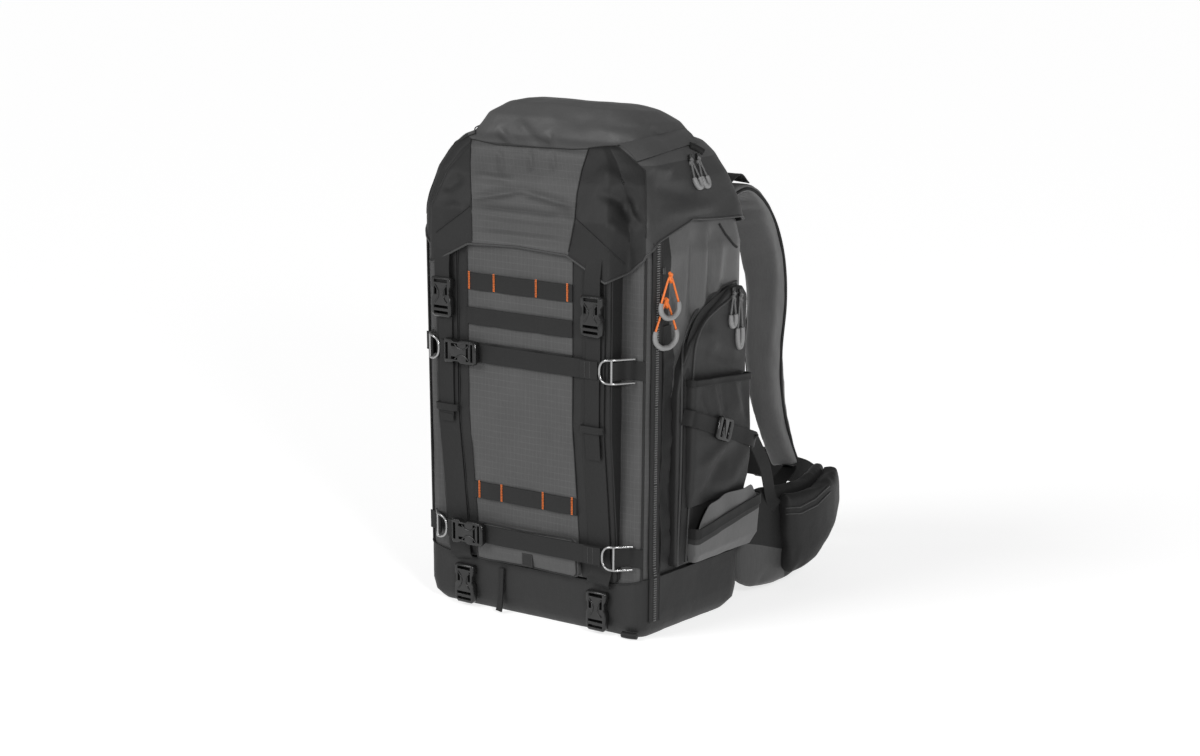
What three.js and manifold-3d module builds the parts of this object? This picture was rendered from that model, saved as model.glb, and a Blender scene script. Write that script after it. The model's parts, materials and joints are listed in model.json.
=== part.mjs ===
// Camera trekking backpack, standing on its base. Millimetres, +Z up, origin on the floor under the
// middle of the pack. -Y is the front that faces away from the wearer, +Y is the harness side.
import * as THREE from "three";
import { mergeVertices } from "three/addons/utils/BufferGeometryUtils.js";
import Module from "manifold-3d";

const wasm = await Module();
wasm.setup();

// Pack body: a padded bag, open at the top under the lid
const PACK_WIDTH = 352;
const PACK_DEPTH = 226;
const PACK_HEIGHT = 550;
const PACK_WALL = 8;
const FRONT_RADIUS = 14;
const BACK_RADIUS = 34;
const TAPER = 0.04; // the bag is this share wider at the rim than at the floor

// Cloth, webbing and the gap between pieces that touch
const SEAM = 0.3;
const CLOTH = 2;
const WEBBING = 2;
const WIDE_WEBBING = 34;
const LASH_WEBBING = 24;

// Base boot: the reinforced cup round the foot of the bag
const BOOT_WALL = 2.5;
const BOOT_HEIGHT = 66;
const BOOT_CORNER_RISE = 12;

// Front pocket: a raised pouch on the front face, thinner towards its foot
const POCKET_WIDTH = 280;
const POCKET_PROUD = 26;
const POCKET_TUCK = 7; // its rim goes up under the lid's hem this far
const POCKET_ROUND = 6;
const LEAN_FROM = 270;
const LEAN = 20;
const STRIP_HEIGHT = 22;
const STRIP_DROPS = [47, 92, 136]; // from the pocket's rim down to the upper strips
const LOW_STRIP_TOP = 175;
const STRAP_INSET = 23; // from the pocket's side to the middle of each upright strap
const STRAP_MARGIN = 16; // bare cloth between the short strips and the upright straps
const CUP_TOP = 122;
const CUP_PROUD = 8;
const MID_LASH_DROP = 150; // from the pocket's rim down to the middle lash strap
const LOW_LASH = 107;

// Lid
const LID_WALL = 3;
const LID_RISE = 117; // from the bag's rim to the top of the dome
const LID_OVERLAP = 60; // from the bag's rim down to the hem at the middle of the front
const DOME_FALL = 22; // the dome sinks towards the wearer

// Side pockets
const SIDE_PROUD = 12;
const STRETCH_TOP = 326;
const STRETCH_FALL = 10; // the elastic rim falls this much towards the back
const FOOT_TOP = 132;
const FOOT_RISE = 22; // the foot pocket's rim climbs this much towards the back

// Harness
const PANEL_THICK = 20;
const LUMBAR_THICK = 26;
const BELT_THICK = 14;
const BELT_HEIGHT = 148;
const BELT_POCKET_THICK = 22;
const STRAP_THICK = 16;
const STRAP_WIDTH = 74;
const STRAP_REACH = 162; // from the bag's back to the tip of the shoulder straps
const BELT_REACH = 279; // from the bag's back to the belt's front
const HANDLE_DROP = 74; // from the bag's rim to the haul handle

// Hardware
const BUCKLE_WIDTH = 32;
const BUCKLE_LENGTH = 52;
const BUCKLE_THICK = 9;
const LID_BUCKLE_DROP = 49; // from the lid's hem to the top of its buckles
const BASE_BUCKLE_TOP = 57;
const HOOK_WIRE = 2.8;
const HOOK_LENGTH = 35;
const PULL_CORD = 2.4;
const PULL_GRIP = 4.6;
const PULL_THICK = 4;

const halfWidth = PACK_WIDTH / 2;
const halfDepth = PACK_DEPTH / 2;
const bootGrow = SEAM + BOOT_WALL;
const bootFace = -halfDepth - bootGrow;
const pocketHalf = POCKET_WIDTH / 2;
const pocketFace = -halfDepth - SEAM - POCKET_PROUD;
const backFace = halfDepth + SEAM;
const sideFace = halfWidth + SEAM;
const sidePocketFace = sideFace + SIDE_PROUD;
const lidHemLevel = PACK_HEIGHT - LID_OVERLAP;
const pocketTop = lidHemLevel + POCKET_TUCK;
const midLash = pocketTop - MID_LASH_DROP;
const stripTops = [...STRIP_DROPS.map((drop) => pocketTop - drop), LOW_STRIP_TOP];
const strapSpread = pocketHalf - STRAP_INSET;
const stripHalf = strapSpread - WIDE_WEBBING / 2 - STRAP_MARGIN;

/** How far the front pocket's face stands back from its upper part, at a height. */
const leanAt = (z) => (LEAN * Math.max(0, LEAN_FROM - z)) / (LEAN_FROM - BOOT_HEIGHT);
const faceAt = (z) => pocketFace + leanAt(z);

// Solids and meshes

function geometryOf(points, index) {
  return new THREE.BufferGeometry()
    .setAttribute("position", new THREE.Float32BufferAttribute(points, 3))
    .setIndex(index);
}

/** A mesh with its shared vertices merged, as a solid that can be cut and joined. */
function toSolid(geometry) {
  const plain = geometry.clone();
  for (const name of Object.keys(plain.attributes)) {
    if (name !== "position") plain.deleteAttribute(name);
  }
  const merged = mergeVertices(plain, 1e-3);
  return new wasm.Manifold(
    new wasm.Mesh({
      numProp: 3,
      vertProperties: merged.attributes.position.array,
      triVerts: new Uint32Array(merged.index.array),
    }),
  );
}

function fromSolid(solid) {
  const mesh = solid.getMesh();
  const points = [];
  for (let i = 0; i < mesh.numVert; i++) {
    const from = i * mesh.numProp;
    points.push(...mesh.vertProperties.subarray(from, from + 3));
  }
  return geometryOf(points, Array.from(mesh.triVerts));
}

const join = (...parts) => fromSolid(parts.map(toSolid).reduce((sum, part) => sum.add(part)));
const cut = (from, ...tools) =>
  fromSolid(tools.map(toSolid).reduce((left, tool) => left.subtract(tool), toSolid(from)));

/** Turns the faces of a closed skin outwards. */
function facingOut(points, index) {
  let volume = 0;
  const corners = [0, 1, 2].map(() => new THREE.Vector3());
  for (let i = 0; i < index.length; i += 3) {
    corners.forEach((corner, k) => corner.fromArray(points[index[i + k]]));
    volume += corners[0].dot(corners[1].cross(corners[2]));
  }
  if (volume < 0) index.reverse();
  return geometryOf(points.flat(), index);
}

/** A closed skin through rings of equal length, with a fan at each end. */
function loft(rings) {
  const count = rings[0].length;
  const points = rings.flat();
  const index = [];
  for (let r = 0; r + 1 < rings.length; r++) {
    for (let i = 0; i < count; i++) {
      const a = r * count + i;
      const b = r * count + ((i + 1) % count);
      index.push(a, b, b + count, a, b + count, a + count);
    }
  }
  const ends = [
    { start: 0, forward: false },
    { start: (rings.length - 1) * count, forward: true },
  ];
  for (const { start, forward } of ends) {
    const ring = points.slice(start, start + count);
    const middle = [0, 1, 2].map((axis) => ring.reduce((sum, p) => sum + p[axis], 0) / count);
    const centre = points.push(middle) - 1;
    for (let i = 0; i < count; i++) {
      const a = start + i;
      const b = start + ((i + 1) % count);
      index.push(...(forward ? [a, b, centre] : [b, a, centre]));
    }
  }
  return facingOut(points, index);
}

/** A closed skin through rings whose last one meets the first. */
function closedLoop(rings) {
  const count = rings[0].length;
  const index = [];
  rings.forEach((ring, r) => {
    const next = (r + 1) % rings.length;
    for (let i = 0; i < count; i++) {
      const j = (i + 1) % count;
      const [a, b, c, d] = [r * count + i, r * count + j, next * count + j, next * count + i];
      index.push(a, b, c, a, c, d);
    }
  });
  return facingOut(rings.flat(), index);
}

/** A raised panel: an outline in a plane, drawn in by an inset at each level above it. */
function raised(outline, levels, place) {
  const middle = [0, 1].map((axis) => outline.reduce((sum, p) => sum + p[axis], 0) / outline.length);
  return loft(
    levels.map(({ out, inset }) =>
      outline.map(([a, b]) => {
        const [da, db] = [a - middle[0], b - middle[1]];
        const scale = 1 - inset / Math.hypot(da, db);
        return place(out, middle[0] + da * scale, middle[1] + db * scale);
      }),
    ),
  );
}

/** Points of a rounded rectangle round a centre. */
function roundedOutline(width, height, radius, [cx, cy], steps = 2) {
  const points = [];
  for (let corner = 0; corner < 4; corner++) {
    const right = corner === 0 || corner === 3 ? 1 : -1;
    const up = corner < 2 ? 1 : -1;
    for (let i = 0; i <= steps; i++) {
      const turn = ((corner + i / steps) * Math.PI) / 2;
      points.push([
        cx + right * (width / 2 - radius) + radius * Math.cos(turn),
        cy + up * (height / 2 - radius) + radius * Math.sin(turn),
      ]);
    }
  }
  return points;
}

const box = (low, high) =>
  new THREE.BoxGeometry(...high.map((value, axis) => value - low[axis])).translate(
    ...high.map((value, axis) => (value + low[axis]) / 2),
  );

/** The same piece on the other side of the pack. */
function mirrored(geometry) {
  const position = geometry.getAttribute("position");
  const points = [];
  for (let i = 0; i < position.count; i++) {
    points.push(-position.getX(i), position.getY(i), position.getZ(i));
  }
  return geometryOf(points, Array.from(geometry.index.array).reverse());
}

/** Value of a table of [place, value] rows at a place, straight between its rows. */
function along(rows, place) {
  if (place <= rows[0][0]) return rows[0][1];
  for (let i = 1; i < rows.length; i++) {
    const [p0, v0] = rows[i - 1];
    const [p1, v1] = rows[i];
    if (place <= p1) return v0 + ((v1 - v0) * (place - p0)) / (p1 - p0);
  }
  return rows.at(-1)[1];
}

const FLAT_SECTION = [
  [-0.5, -0.5],
  [-0.5, 0.5],
  [0.5, 0.5],
  [0.5, -0.5],
];
const PADDED_SECTION = [
  [-0.5, -0.2],
  [-0.5, 0.2],
  [-0.44, 0.5],
  [0, 0.5],
  [0.44, 0.5],
  [0.5, 0.2],
  [0.5, -0.2],
  [0.44, -0.5],
  [0, -0.5],
  [-0.44, -0.5],
];

/** A band swept through rows of { at, width }, with its width along one direction. */
function band(rows, { across, width, thickness, section = FLAT_SECTION, smooth = 1 }) {
  const curve = new THREE.CatmullRomCurve3(
    rows.map((row) => new THREE.Vector3(...row.at)),
    false,
    "centripetal",
  );
  const widths = rows.map((row, i) => [i / (rows.length - 1), row.width ?? width]);
  const steps = (rows.length - 1) * smooth;
  const rings = [];
  for (let s = 0; s <= steps; s++) {
    const centre = curve.getPoint(s / steps);
    const tangent = curve.getTangent(s / steps);
    const wide = new THREE.Vector3(...across);
    wide.addScaledVector(tangent, -wide.dot(tangent)).normalize();
    const up = new THREE.Vector3().crossVectors(tangent, wide);
    const spread = along(widths, s / steps);
    const place = ([x, y]) =>
      centre.clone().addScaledVector(wide, x * spread).addScaledVector(up, y * thickness);
    rings.push(section.map((corner) => place(corner).toArray()));
  }
  return loft(rings);
}

/** A round cord or wire along points. */
function wire(points, diameter, { steps, sides = 6 }) {
  const curve = new THREE.CatmullRomCurve3(
    points.map((p) => new THREE.Vector3(...p)),
    false,
    "centripetal",
  );
  const section = new THREE.Shape();
  for (let i = 0; i < sides; i++) {
    const turn = (i / sides) * 2 * Math.PI;
    const corner = [(Math.cos(turn) * diameter) / 2, (Math.sin(turn) * diameter) / 2];
    if (i) section.lineTo(...corner);
    else section.moveTo(...corner);
  }
  section.closePath();
  return new THREE.ExtrudeGeometry(section, {
    steps,
    extrudePath: curve,
    bevelEnabled: false,
    curveSegments: 1,
  });
}

/** A plate from [x, z] outline points with its back at y = 0 and its front towards -Y. */
function plate(outline, thickness) {
  const levels = [
    { share: 0, scale: 0.97 },
    { share: 0.2, scale: 1 },
    { share: 0.8, scale: 1 },
    { share: 1, scale: 0.93 },
  ];
  return loft(
    levels.map(({ share, scale }) => outline.map(([x, z]) => [x * scale, -share * thickness, z * scale])),
  );
}

// Plan outline of the bag: one ring from the front's middle to the right, the back and the left

const CORNER_STEPS = 3;
const SIDE_STEPS = 5;

function planRing({ half, front, back, frontRadius, backRadius, proud = 0, z }) {
  const flat = half - frontRadius;
  const face = Math.min(pocketHalf, flat * 0.9);
  const right = [0, 0.3, 0.6, 1].map((share) => [share * face, front - proud]);
  right.push([Math.min(face + 2 * POCKET_ROUND, flat * 0.98), front]);
  const arc = (cx, cy, radius, from) => {
    for (let i = 0; i <= CORNER_STEPS; i++) {
      const turn = from + ((i / CORNER_STEPS) * Math.PI) / 2;
      right.push([cx + radius * Math.cos(turn), cy + radius * Math.sin(turn)]);
    }
  };
  arc(flat, front + frontRadius, frontRadius, -Math.PI / 2);
  const sideStart = front + frontRadius;
  const sideLength = back - backRadius - sideStart;
  for (let i = 1; i < SIDE_STEPS; i++) right.push([half, sideStart + (sideLength * i) / SIDE_STEPS]);
  arc(half - backRadius, back - backRadius, backRadius, 0);
  for (const share of [0.5, 0]) right.push([share * (half - backRadius), back]);
  const left = right
    .slice(1, -1)
    .reverse()
    .map(([x, y]) => [-x, y]);
  return [...right, ...left].map(([x, y]) => [x, y, typeof z === "function" ? z(x, y) : z]);
}

/** The bag's outline grown outwards, its width and depth as shares of its own. */
function packRing({ wide, deep }, z, grow = 0) {
  return planRing({
    half: halfWidth * wide + grow,
    front: -halfDepth * deep - grow,
    back: halfDepth * deep + grow,
    frontRadius: Math.max(FRONT_RADIUS / 4, FRONT_RADIUS + grow),
    backRadius: BACK_RADIUS + grow,
    z,
  });
}

// Heights are shares of the bag's height
const PACK_SECTIONS = [
  { at: 0.006, wide: 0.93, deep: 0.9 },
  { at: 0.022, wide: 0.985, deep: 0.98 },
  { at: 0.05, wide: 1, deep: 1 },
  { at: 0.88, wide: 1, deep: 1 },
  { at: 1, wide: 0.94, deep: 0.91 },
];

function packBody() {
  const outer = PACK_SECTIONS.map((section) => packRing(section, section.at * PACK_HEIGHT));
  const floor = PACK_SECTIONS[0].at * PACK_HEIGHT + PACK_WALL;
  const inner = [
    packRing(PACK_SECTIONS[4], PACK_HEIGHT, -PACK_WALL),
    packRing(PACK_SECTIONS[3], PACK_SECTIONS[3].at * PACK_HEIGHT, -PACK_WALL),
    packRing(PACK_SECTIONS[2], floor + 2 * PACK_WALL, -PACK_WALL),
    packRing(PACK_SECTIONS[1], floor, -2 * PACK_WALL),
  ];
  return loft([...outer, ...inner]);
}

/** The boot's hem climbs at the bag's corners and along its sides. */
const bootHem = (x) => BOOT_HEIGHT + BOOT_CORNER_RISE * Math.min(1, Math.abs(x) / halfWidth) ** 6;

function baseBoot() {
  const [foot, heel, full] = PACK_SECTIONS;
  return loft([
    packRing(foot, 0, bootGrow),
    packRing(heel, heel.at * PACK_HEIGHT - SEAM, bootGrow),
    packRing(full, full.at * PACK_HEIGHT, bootGrow),
    packRing(full, bootHem, bootGrow),
    packRing(full, bootHem, SEAM),
    packRing(full, full.at * PACK_HEIGHT - SEAM, SEAM),
    packRing(heel, heel.at * PACK_HEIGHT - SEAM, SEAM),
    packRing(foot, foot.at * PACK_HEIGHT - SEAM, SEAM),
  ]);
}

// Front pocket and what is sewn on it

function frontPocket() {
  const low = BOOT_HEIGHT + BOOT_CORNER_RISE / 3;
  const back = -halfDepth - SEAM;
  const ring = (z, inset, wall = 0) => {
    const face = faceAt(z) + inset / 2 + wall;
    const half = pocketHalf - inset - wall;
    const round = Math.min(POCKET_ROUND, (back - wall - face) / 2);
    const right = [
      [half, back - wall],
      [half, face + round],
      [half - round * 0.3, face + round * 0.3],
      [half - round, face],
    ];
    const left = [...right].reverse().map(([x, y]) => [-x, y]);
    return [...right, ...left].map(([x, y]) => [x, y, z]);
  };
  return loft([
    ring(low, POCKET_ROUND),
    ring(low + POCKET_ROUND, 0),
    ring(LEAN_FROM, 0),
    ring(pocketTop, 0),
    ring(pocketTop, 0, CLOTH),
    ring(LEAN_FROM, 0, CLOTH),
    ring((low + LEAN_FROM) / 2, 0, CLOTH),
    ring(low + 5 * POCKET_ROUND, 0, CLOTH),
  ]);
}

function daisyStrip(top) {
  return loft(
    [top - STRIP_HEIGHT, top].map((z) => {
      const back = faceAt(z) - SEAM;
      return [
        [-stripHalf, back, z],
        [stripHalf, back, z],
        [stripHalf, back - WEBBING, z],
        [-stripHalf, back - WEBBING, z],
      ];
    }),
  );
}

function uprightStrap() {
  const onFace = (z) => ({ at: [strapSpread, faceAt(z) - SEAM - WEBBING / 2, z] });
  const foot = { at: [strapSpread - 5, bootFace - BUCKLE_THICK / 2, BASE_BUCKLE_TOP + 8] };
  const rows = [onFace(pocketTop - 24), onFace(LEAN_FROM), onFace(BOOT_HEIGHT + 18), foot];
  return band(rows, { across: [1, 0, 0], width: WIDE_WEBBING, thickness: WEBBING });
}

/** The cup that takes a tripod's foot, folded flat under the low lash strap. */
function tripodPocket() {
  const half = stripHalf;
  const low = BOOT_HEIGHT + 5;
  const outline = roundedOutline(2 * half, CUP_TOP - low, 7, [0, (CUP_TOP + low) / 2]);
  const levels = [
    { out: SEAM, inset: 0 },
    { out: SEAM + CUP_PROUD * 0.7, inset: 0 },
    { out: SEAM + CUP_PROUD, inset: 3 },
  ];
  return raised(outline, levels, (out, x, z) => [x, faceAt(z) - out, z]);
}

function pullTab() {
  const rows = [
    { at: [-50, bootFace - 2.4, BOOT_HEIGHT - 6], width: 9 },
    { at: [-50, bootFace - 3.4, BOOT_HEIGHT * 0.5], width: 7 },
    { at: [-51, bootFace - 5, 12], width: 8 },
    { at: [-52, bootFace - 6.5, 2.5], width: 10 },
  ];
  return band(rows, { across: [1, 0, 0], thickness: 3 });
}

/** Middle plane of a lash strap that clears what stands proud of the pocket's face. */
const lashPlane = (height, proud) => faceAt(height + LASH_WEBBING / 2) - proud - SEAM - WEBBING / 2;

const LASH_REACH = strapSpread + 10;

function lashStrap(height, proud) {
  const rows = [-LASH_REACH, 0, LASH_REACH].map((x) => ({ at: [x, lashPlane(height, proud), height] }));
  return band(rows, { across: [0, 0, 1], width: LASH_WEBBING, thickness: WEBBING });
}

// Hardware

// Half outline of a side-release buckle: x as a share of its width, z as a share of its length
const BUCKLE_EDGE = [
  [0.36, -0.5],
  [0.47, -0.44],
  [0.5, -0.3],
  [0.5, -0.04],
  [0.42, 0.04],
  [0.42, 0.2],
  [0.5, 0.28],
  [0.5, 0.46],
  [0.44, 0.5],
];

// Slots and windows of the buckle, in the same shares
const BUCKLE_HOLES = [
  { x: 0, half: 0.36, low: -0.42, high: -0.35 },
  { x: 0, half: 0.36, low: -0.28, high: -0.21 },
  { x: 0, half: 0.34, low: 0.36, high: 0.44 },
  { x: -0.27, half: 0.06, low: 0.06, high: 0.26 },
  { x: 0.27, half: 0.06, low: 0.06, high: 0.26 },
];

/** A side-release buckle: it stands on end round its own middle and faces -Y. */
function buckle() {
  const right = BUCKLE_EDGE.map(([x, z]) => [x * BUCKLE_WIDTH, z * BUCKLE_LENGTH]);
  const left = [...right].reverse().map(([x, z]) => [-x, z]);
  const holes = BUCKLE_HOLES.map(({ x, half, low, high }) =>
    box(
      [(x - half) * BUCKLE_WIDTH, -BUCKLE_THICK * 2, low * BUCKLE_LENGTH],
      [(x + half) * BUCKLE_WIDTH, BUCKLE_THICK, high * BUCKLE_LENGTH],
    ),
  );
  return cut(plate([...right, ...left], BUCKLE_THICK), ...holes);
}

const uprightBuckle = (x, y, top) => buckle().translate(x, y - SEAM, top - BUCKLE_LENGTH / 2);

const LASH_BUCKLE_X = -(strapSpread - 29);
const lashBuckle = (height, proud) =>
  buckle()
    .rotateY(-Math.PI / 2)
    .translate(LASH_BUCKLE_X, lashPlane(height, proud) - WEBBING / 2 - SEAM, height);

/** A wire hook from the lash strap's end back to the bag's corner, with a bar across it. */
function wireHook(height, proud) {
  const plane = lashPlane(height, proud) - HOOK_WIRE / 2;
  const acrossPack = [
    [0, LASH_REACH + HOOK_WIRE / 2 + SEAM],
    [0.4, pocketHalf + 4],
    [1, LASH_REACH + HOOK_LENGTH],
  ];
  const depth = [
    [0.4, plane],
    [1, -halfDepth - SEAM - HOOK_WIRE],
  ];
  const rise = LASH_WEBBING / 2 + 3;
  const place = ([share, up]) => [along(acrossPack, share), along(depth, share), height + up * rise];
  const bow = [
    [1, 1],
    [0.5, 1],
    [0.18, 0.86],
    [0.03, 0.45],
    [0, 0],
    [0.03, -0.45],
    [0.18, -0.86],
    [0.5, -1],
    [1, -1],
  ];
  const bar = [
    [0.45, -1],
    [0.45, 0],
    [0.45, 1],
  ];
  return join(
    wire(bow.map(place), HOOK_WIRE, { steps: 14 }),
    wire(bar.map(place), HOOK_WIRE * 0.95, { steps: 1 }),
  );
}

// Right half of a pull's loop: x as a share of the half grip, z as a share of the pull's length,
// section from 0, the cord, to 1, the moulded grip at its foot
const PULL_LOOP = [
  { x: 0, z: 0, grip: 0 },
  { x: 0.4, z: -0.3, grip: 0 },
  { x: 0.7, z: -0.62, grip: 0 },
  { x: 0.8, z: -0.68, grip: 1 },
  { x: 0.86, z: -0.84, grip: 1 },
  { x: 0.45, z: -0.96, grip: 1 },
  { x: 0, z: -0.98, grip: 1 },
];

/** A zip pull: a cord loop with a moulded grip at its foot, hanging from its top in the XZ plane. */
function zipPull(length, gripWidth) {
  const right = PULL_LOOP.map(({ x, z, grip }) => ({ x: (x * gripWidth) / 2, z: z * length, grip }));
  const left = right
    .slice(1, -1)
    .reverse()
    .map((point) => ({ ...point, x: -point.x }));
  const middle = [...right, ...left];
  const rings = middle.map(({ x, z, grip }, i) => {
    const before = middle.at(i - 1);
    const after = middle[(i + 1) % middle.length];
    const run = new THREE.Vector2(after.x - before.x, after.z - before.z).normalize();
    const wide = (PULL_CORD + grip * (PULL_GRIP - PULL_CORD)) / 2;
    const deep = (PULL_CORD + grip * (PULL_THICK - PULL_CORD)) / 2;
    const corner = (side, front) => [
      x - side * wide * run.y,
      -PULL_THICK / 2 - front * deep,
      z + side * wide * run.x,
    ];
    return [corner(-1, -1), corner(-1, 1), corner(1, 1), corner(1, -1)];
  });
  return closedLoop(rings);
}

/** Hangs a pull on the pack's right side, its foot swung out by an angle. */
const sidePull = (length, gripWidth, swing, at) =>
  zipPull(length, gripWidth)
    .rotateZ(Math.PI / 2)
    .rotateY(-swing)
    .translate(...at);

// Lid: a hollow cap with a raised dome, its hem lower at the buckle corners

// Heights above the bag's rim are shares of the lid's rise, the rest are shares too: null is the hem
const LID_SECTIONS = [
  { at: null, wide: 1, front: 1, back: 1, proud: 1, radius: 1, fall: 0 },
  { at: -0.17, wide: 0.985, front: 1, back: 0.99, proud: 0.96, radius: 1, fall: 0 },
  { at: 0.214, wide: 0.925, front: 0.94, back: 0.9, proud: 0.5, radius: 1.6, fall: 0 },
  { at: 0.427, wide: 0.865, front: 0.86, back: 0.81, proud: 0.22, radius: 2, fall: 0.1 },
  { at: 0.564, wide: 0.79, front: 0.79, back: 0.73, proud: 0.1, radius: 2.3, fall: 0.2 },
  { at: 0.607, wide: 0.73, front: 0.71, back: 0.67, proud: 0, radius: 2.3, fall: 0.3 },
  { at: 0.812, wide: 0.66, front: 0.57, back: 0.58, proud: 0, radius: 2, fall: 0.7 },
  { at: 0.949, wide: 0.54, front: 0.4, back: 0.45, proud: 0, radius: 1.6, fall: 1 },
  { at: 1, wide: 0.4, front: 0.24, back: 0.26, proud: 0, radius: 1, fall: 1 },
];
const LID_SHOULDER = 3; // section where the side turns over into the dome

// How far the hem climbs, as shares of the overlap: by share of half width, then of half depth
const HEM_FRONT = [
  [0, 0],
  [0.44, -0.05],
  [0.78, -0.55],
  [0.88, -0.33],
  [1, -0.03],
];
const HEM_SIDE = [
  [-1, 0],
  [-0.83, 0.28],
  [-0.2, 0.6],
  [0.75, 0.47],
  [1, 0.3],
];

function lidHem(x, y) {
  const climb = y <= -halfDepth ? along(HEM_FRONT, Math.abs(x) / halfWidth) : along(HEM_SIDE, y / halfDepth);
  return lidHemLevel + climb * LID_OVERLAP;
}

const lidLevel = (share) => PACK_HEIGHT + share * LID_RISE;

function lidRing({ at, wide, front, back, proud, radius, fall }, clearance) {
  const drop = at !== null && at > 0.3 ? SEAM + LID_WALL - clearance : 0;
  const fallAt = (y) => DOME_FALL * fall * Math.max(0, (y + halfDepth) / PACK_DEPTH - 0.25);
  return planRing({
    half: halfWidth * wide + clearance,
    front: -halfDepth * front - clearance,
    back: halfDepth * back + clearance,
    frontRadius: FRONT_RADIUS * radius + clearance,
    backRadius: BACK_RADIUS * Math.min(radius, 1.3) + clearance,
    proud: (POCKET_PROUD + SEAM + WEBBING + SEAM) * proud,
    z: (x, y) => (at === null ? lidHem(x, y) : lidLevel(at) - drop - fallAt(y)),
  });
}

const lidSkin = (clearance) => LID_SECTIONS.map((section) => lidRing(section, clearance));

function lid() {
  return loft([...lidSkin(SEAM + LID_WALL).reverse(), ...lidSkin(SEAM)]);
}

/** The cloth hood over the lid's zip, along the right shoulder of the dome. */
function lidZipHood() {
  const skin = lidSkin(SEAM + LID_WALL).map((ring) => ring.map((p) => new THREE.Vector3(...p)));
  const [low, high] = [skin[LID_SHOULDER], skin[LID_SHOULDER + 1]];
  const first = 6;
  const last = 12;
  const rings = [];
  for (let i = first; i <= last; i++) {
    const slope = high[i].clone().sub(low[i]);
    const run = low[i + 1].clone().sub(low[i - 1]);
    const out = run.cross(slope).normalize();
    const lift = (share, height) =>
      low[i].clone().addScaledVector(slope, share).addScaledVector(out, height).toArray();
    rings.push([lift(0.06, 0.9), lift(0.94, 0.9), lift(0.88, 3.6), lift(0.12, 3.6)]);
  }
  return loft(rings);
}

// Sides: zip, zipped pocket, stretch pocket, foot pocket and compression strap

function mainZip() {
  const onCloth = sideFace + 1;
  const onBoot = onCloth + bootGrow;
  const rows = [
    [onBoot, 22],
    [onBoot, BOOT_HEIGHT + BOOT_CORNER_RISE + 3],
    [onCloth, BOOT_HEIGHT + BOOT_CORNER_RISE + 16],
    [onCloth, 481],
  ];
  return band(
    rows.map(([x, z]) => ({ at: [x, -92, z] })),
    { across: [0, 1, 0], width: 18, thickness: 1.6 },
  );
}

// [y, z] corners, from the foot of the front edge over the arc to the back
const SIDE_POCKET_OUTLINE = [
  [-54, 86],
  [-59, 92],
  [-59, 200],
  [-59, 310],
  [-52, 340],
  [-32, 372],
  [6, 404],
  [52, 430],
  [80, 431],
  [90, 420],
  [92, 300],
  [94, 180],
  [96, 92],
  [90, 86],
  [20, 85],
];

function sidePocket() {
  const levels = [
    { out: 0, inset: 0 },
    { out: SIDE_PROUD * 0.7, inset: 0 },
    { out: SIDE_PROUD, inset: 4 },
  ];
  return raised(SIDE_POCKET_OUTLINE, levels, (out, y, z) => [sideFace + out, y, z]);
}

/** An open pouch on the side pocket: levels give its height, depth, front and back edges. */
function pouch(levels, rim) {
  const ring = ({ z, depth, front, back }, inset) => {
    const middle = [sidePocketFace + SEAM + depth / 2, (front + back) / 2];
    const [wide, long] = [depth - 2 * inset, back - front - 2 * inset];
    return roundedOutline(wide, long, Math.min(4, wide / 2.6), middle).map(([x, y]) => [x, y, z ?? rim(y)]);
  };
  const outer = levels.map((level) => ring(level, 0));
  const inner = levels.slice(1).map((level) => ring(level, CLOTH));
  return loft([...outer, ...inner.reverse()]);
}

const STRETCH_LEVELS = [
  { z: 162, depth: 7, front: -40, back: 84 },
  { z: 184, depth: 12, front: -43, back: 86 },
  { z: 250, depth: 14, front: -44, back: 86 },
  { z: null, depth: 13, front: -44, back: 86 },
];
const stretchPocket = () => pouch(STRETCH_LEVELS, (y) => STRETCH_TOP - (STRETCH_FALL * (y + 44)) / 130);

const FOOT_LEVELS = [
  { z: 88, depth: 9, front: -30, back: 98 },
  { z: 100, depth: 17, front: -34, back: 104 },
  { z: null, depth: 18, front: -36, back: 107 },
];
const footPocket = () => pouch(FOOT_LEVELS, (y) => FOOT_TOP + (FOOT_RISE * (y + 36)) / 143);

const sideStrapX = sidePocketFace + SEAM + STRETCH_LEVELS[2].depth + SEAM + WEBBING / 2;

function sideStrap() {
  const rows = [
    [sidePocketFace + 2.6, -52, 281],
    [sideStrapX + 0.4, -46, 279],
    [sideStrapX, 16, 256],
    [sideStrapX + 0.4, 90, 229],
    [sideStrapX - 17, 115, 220],
  ];
  return band(
    rows.map((at) => ({ at })),
    { across: [0, 0.35, 0.94], width: 20, thickness: WEBBING },
  );
}

/** A ladder-lock buckle on the compression strap. */
function sideBuckle() {
  const slots = [-9, 5].map((z) => box([-11, -20, z], [11, 20, z + 4]));
  return cut(plate(roundedOutline(30, 34, 5, [0, 0]), 5), ...slots)
    .rotateZ(Math.PI / 2)
    .rotateX(1.22)
    .translate(sideStrapX + WEBBING / 2 + SEAM, 16, 256);
}

// Harness

function backPanel() {
  const outline = roundedOutline(256, 310, 24, [0, 307], 3);
  const levels = [
    { out: 0, inset: 0 },
    { out: PANEL_THICK * 0.6, inset: 0 },
    { out: PANEL_THICK, inset: 8 },
  ];
  const channel = box([-12, backFace + PANEL_THICK / 2, 120], [12, backFace + PANEL_THICK * 2, 480]);
  return cut(
    raised(outline, levels, (out, x, z) => [x, backFace + out, z]),
    channel,
  );
}

function lumbarPad() {
  const levels = [
    { out: bootGrow, inset: 0 },
    { out: LUMBAR_THICK * 0.6, inset: 0 },
    { out: LUMBAR_THICK, inset: 9 },
  ];
  const outline = roundedOutline(196, 112, 30, [0, 92], 3);
  return raised(outline, levels, (out, x, z) => [x, backFace + out, z]);
}

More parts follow.
